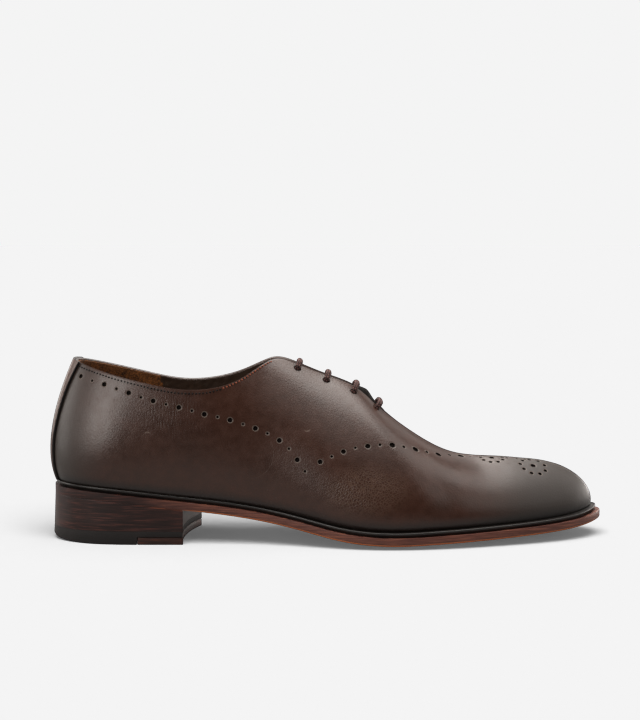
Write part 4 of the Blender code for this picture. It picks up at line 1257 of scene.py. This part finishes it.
def stitchRow(name, spots, normals, aheads, materials):
    rings = stitching["rings"]
    turn = np.linspace(0.0, 2 * math.pi, stitching["sides"], endpoint=False)
    points, faces, marks = [], [], []
    for spot, normal, ahead in zip(spots, normals, aheads):
        side = np.cross(normal, ahead)
        start = len(points)
        for along, share in rings:
            for angle in turn:
                wide = side * (math.cos(angle) * share * stitching["width"] / 2)
                high = normal * (math.sin(angle) * share * stitching["height"])
                points.append(spot + ahead * (along * stitching["length"]) + wide + high)
        one = [*(gridFaces(len(rings), len(turn), closedCols=True) + start)]
        far = start + (len(rings) - 1) * len(turn)
        one += [range(start, start + len(turn))[::-1], range(far, far + len(turn))]
        faces += one
        marks += [isRust(spot)] * len(one)
    # painted shade: a flat dark strip just off the leather under the rust stitches stands for their shaded
    # groove
    start, half = len(points), np.cross(normals, aheads) * (stitching["grooveShadeWidth"] / 2)
    lifted = spots + normals * stitching["grooveShadeLift"]
    points += [*(lifted - half), *(lifted + half)]  # the dark groove that the rust thread is pulled into
    count = len(spots)
    for k in range(count - 1):
        if isRust(spots[k]):
            faces.append((start + k, start + k + 1, start + count + k + 1, start + count + k))
            marks.append(0)
    row = meshPiece(name, points, faces)
    giveMaterials(row, *materials)
    row.data.polygons.foreach_set("material_index", marks)
    faceOutwards(row)
    return dress(row, (), angle=60.0)


def makeStitches():
    # the dark thread also colours the strip of painted shade under the rust stitches
    dark = waxedCotton("thread_waxed_dark_and_painted_groove_shade", "#050303", "#0c0706")
    rust = waxedCotton("thread_waxed_rust", "#5c2a1b", "#98553c")
    end = stations[last["facingTop"]] + stitching["past"]
    outer = np.linspace(stitching["firstWay"], end, stitching["scan"])
    for name, way in (("collar_stitches_outer", outer), ("collar_stitches_inner", 2 * toeWay - outer)):
        c = columnsAt(way)
        below = np.interp(c["x"], *zip(*stitching["below"]))
        rise = 1.0 - below / (3 * np.hypot(c["highOut"], c["highDown"]))  # a rib's speed at its top
        length = lengthAlong(skinPoint(way, rise))
        even = np.arange(stitching["pitch"], length[-1], stitching["pitch"])
        spots, normals = skinAt(np.interp(even, length, way), np.interp(even, length, rise))
        stitchRow(name, spots, normals, unit(np.gradient(spots, axis=0)), (dark, rust))


makeLaces()
makeStitches()
print("laces and stitches made")


# Pale floor, soft light and the camera, at the photograph's angle
studio = {
    "floorSize": 12.0, "white": "#f4f4f4",
    "cameraPlace": (-3.48, -1079.56, 188.15), "lookDown": 4.813, "lens": 98.085,
    "ambient": 0.05, "warmth": (1.0, 0.94, 0.89),
}

# Soft boxes: place and aim in millimetres, size in metres, watts; two light only the floor, which throws
# light up under the shoe, and of these the wash casts no shadow; the others light only the shoe
softBoxes = {
    "key": ((-30, -650, 1250), (0, 0, 40), (0.8, 0.8), 1.8),
    "top": ((-150, 490, 1500), (0, 0, 40), (1.5, 2.5), 62.0),
    "topRight": ((1050, 350, 1250), (80, 0, 40), (1.0, 1.8), 10.0),
    "left": ((-950, -1000, 620), (-90, 0, 60), (0.8, 0.6), 9.0),
    "farLeft": ((-1300, 200, 450), (-120, 0, 50), (0.8, 0.8), 7.0),
    "right": ((1100, -600, 800), (90, 0, 40), (0.9, 0.9), 3.0),
    "farRight": ((1600, 700, 350), (120, 0, 40), (1.0, 0.6), 7.5),
    "back": ((100, 1800, 950), (0, 0, 40), (2.8, 0.9), 4.5),
    "lowLeft": ((-900, 1500, 200), (-140, 0, 30), (0.8, 0.5), 3.5),
    "lowRight": ((1150, 1500, 150), (-60, 0, 20), (0.8, 0.4), 7.0),
    "floorKey": ((20, -600, 1250), (0, 0, 0), (1.2, 1.2), 9.0),
    "floorWash": ((0, 0, 1900), (0, 0, 0), (3.0, 3.0), 10.0),
}


def makeStudio():
    deselectAll()
    bpy.ops.mesh.primitive_plane_add(size=studio["floorSize"])
    floor = bpy.context.object
    floor.name = "floor"
    material, tree, shader, place = newMaterial("paper_sweep_pale")
    setShader(tree, shader, Base_Color=hexColour(studio["white"]), Roughness=0.9)
    giveMaterials(floor, material)
    floor.is_shadow_catcher = True
    world = bpy.data.worlds.new("studio")
    bpy.context.scene.world = world
    world.use_nodes = True
    tree = world.node_tree
    glow = tree.nodes["Background"]
    fillInputs(tree, glow, {"Color": hexColour(studio["white"]), "Strength": studio["ambient"]})
    backdrop = addNode(tree, "Background", {"Color": hexColour(studio["white"]), "Strength": 1.0})
    seen = addNode(tree, "LightPath").outputs["Is Camera Ray"]
    both = addNode(tree, "MixShader", {0: seen, 1: glow, 2: backdrop})
    fillInputs(tree, tree.nodes["World Output"], {"Surface": both})
    lit, unlit = bpy.data.collections.new("lit_floor"), bpy.data.collections.new("unlit_floor")
    lit.objects.link(floor)
    unlit.objects.link(floor)
    unlit.collection_objects[0].light_linking.link_state = "EXCLUDE"
    for name, (place, aim, size, power) in softBoxes.items():
        light = bpy.data.lights.new(name, "AREA")
        light.color = studio["warmth"]
        light.shape = "RECTANGLE"
        light.size, light.size_y = size
        light.energy = power
        box = bpy.data.objects.new(name, light)
        bpy.context.scene.collection.objects.link(box)
        box.location = Vector(place) * mm
        box.rotation_euler = (Vector(aim) - Vector(place)).to_track_quat("-Z", "Y").to_euler()
        box.light_linking.receiver_collection = lit if name.startswith("floor") else unlit
        if name == "floorWash":
            box.light_linking.blocker_collection = lit


def makeCamera():
    camera = bpy.data.objects.new("camera", bpy.data.cameras.new("camera"))
    bpy.context.scene.collection.objects.link(camera)
    camera.data.lens = studio["lens"]
    camera.location = Vector(studio["cameraPlace"]) * mm
    camera.rotation_euler = (math.radians(90.0 - studio["lookDown"]), 0.0, 0.0)
    bpy.context.scene.camera = camera


makeStudio()
makeCamera()
bpy.context.scene.view_settings.view_transform = "Standard"
print("studio and camera set")
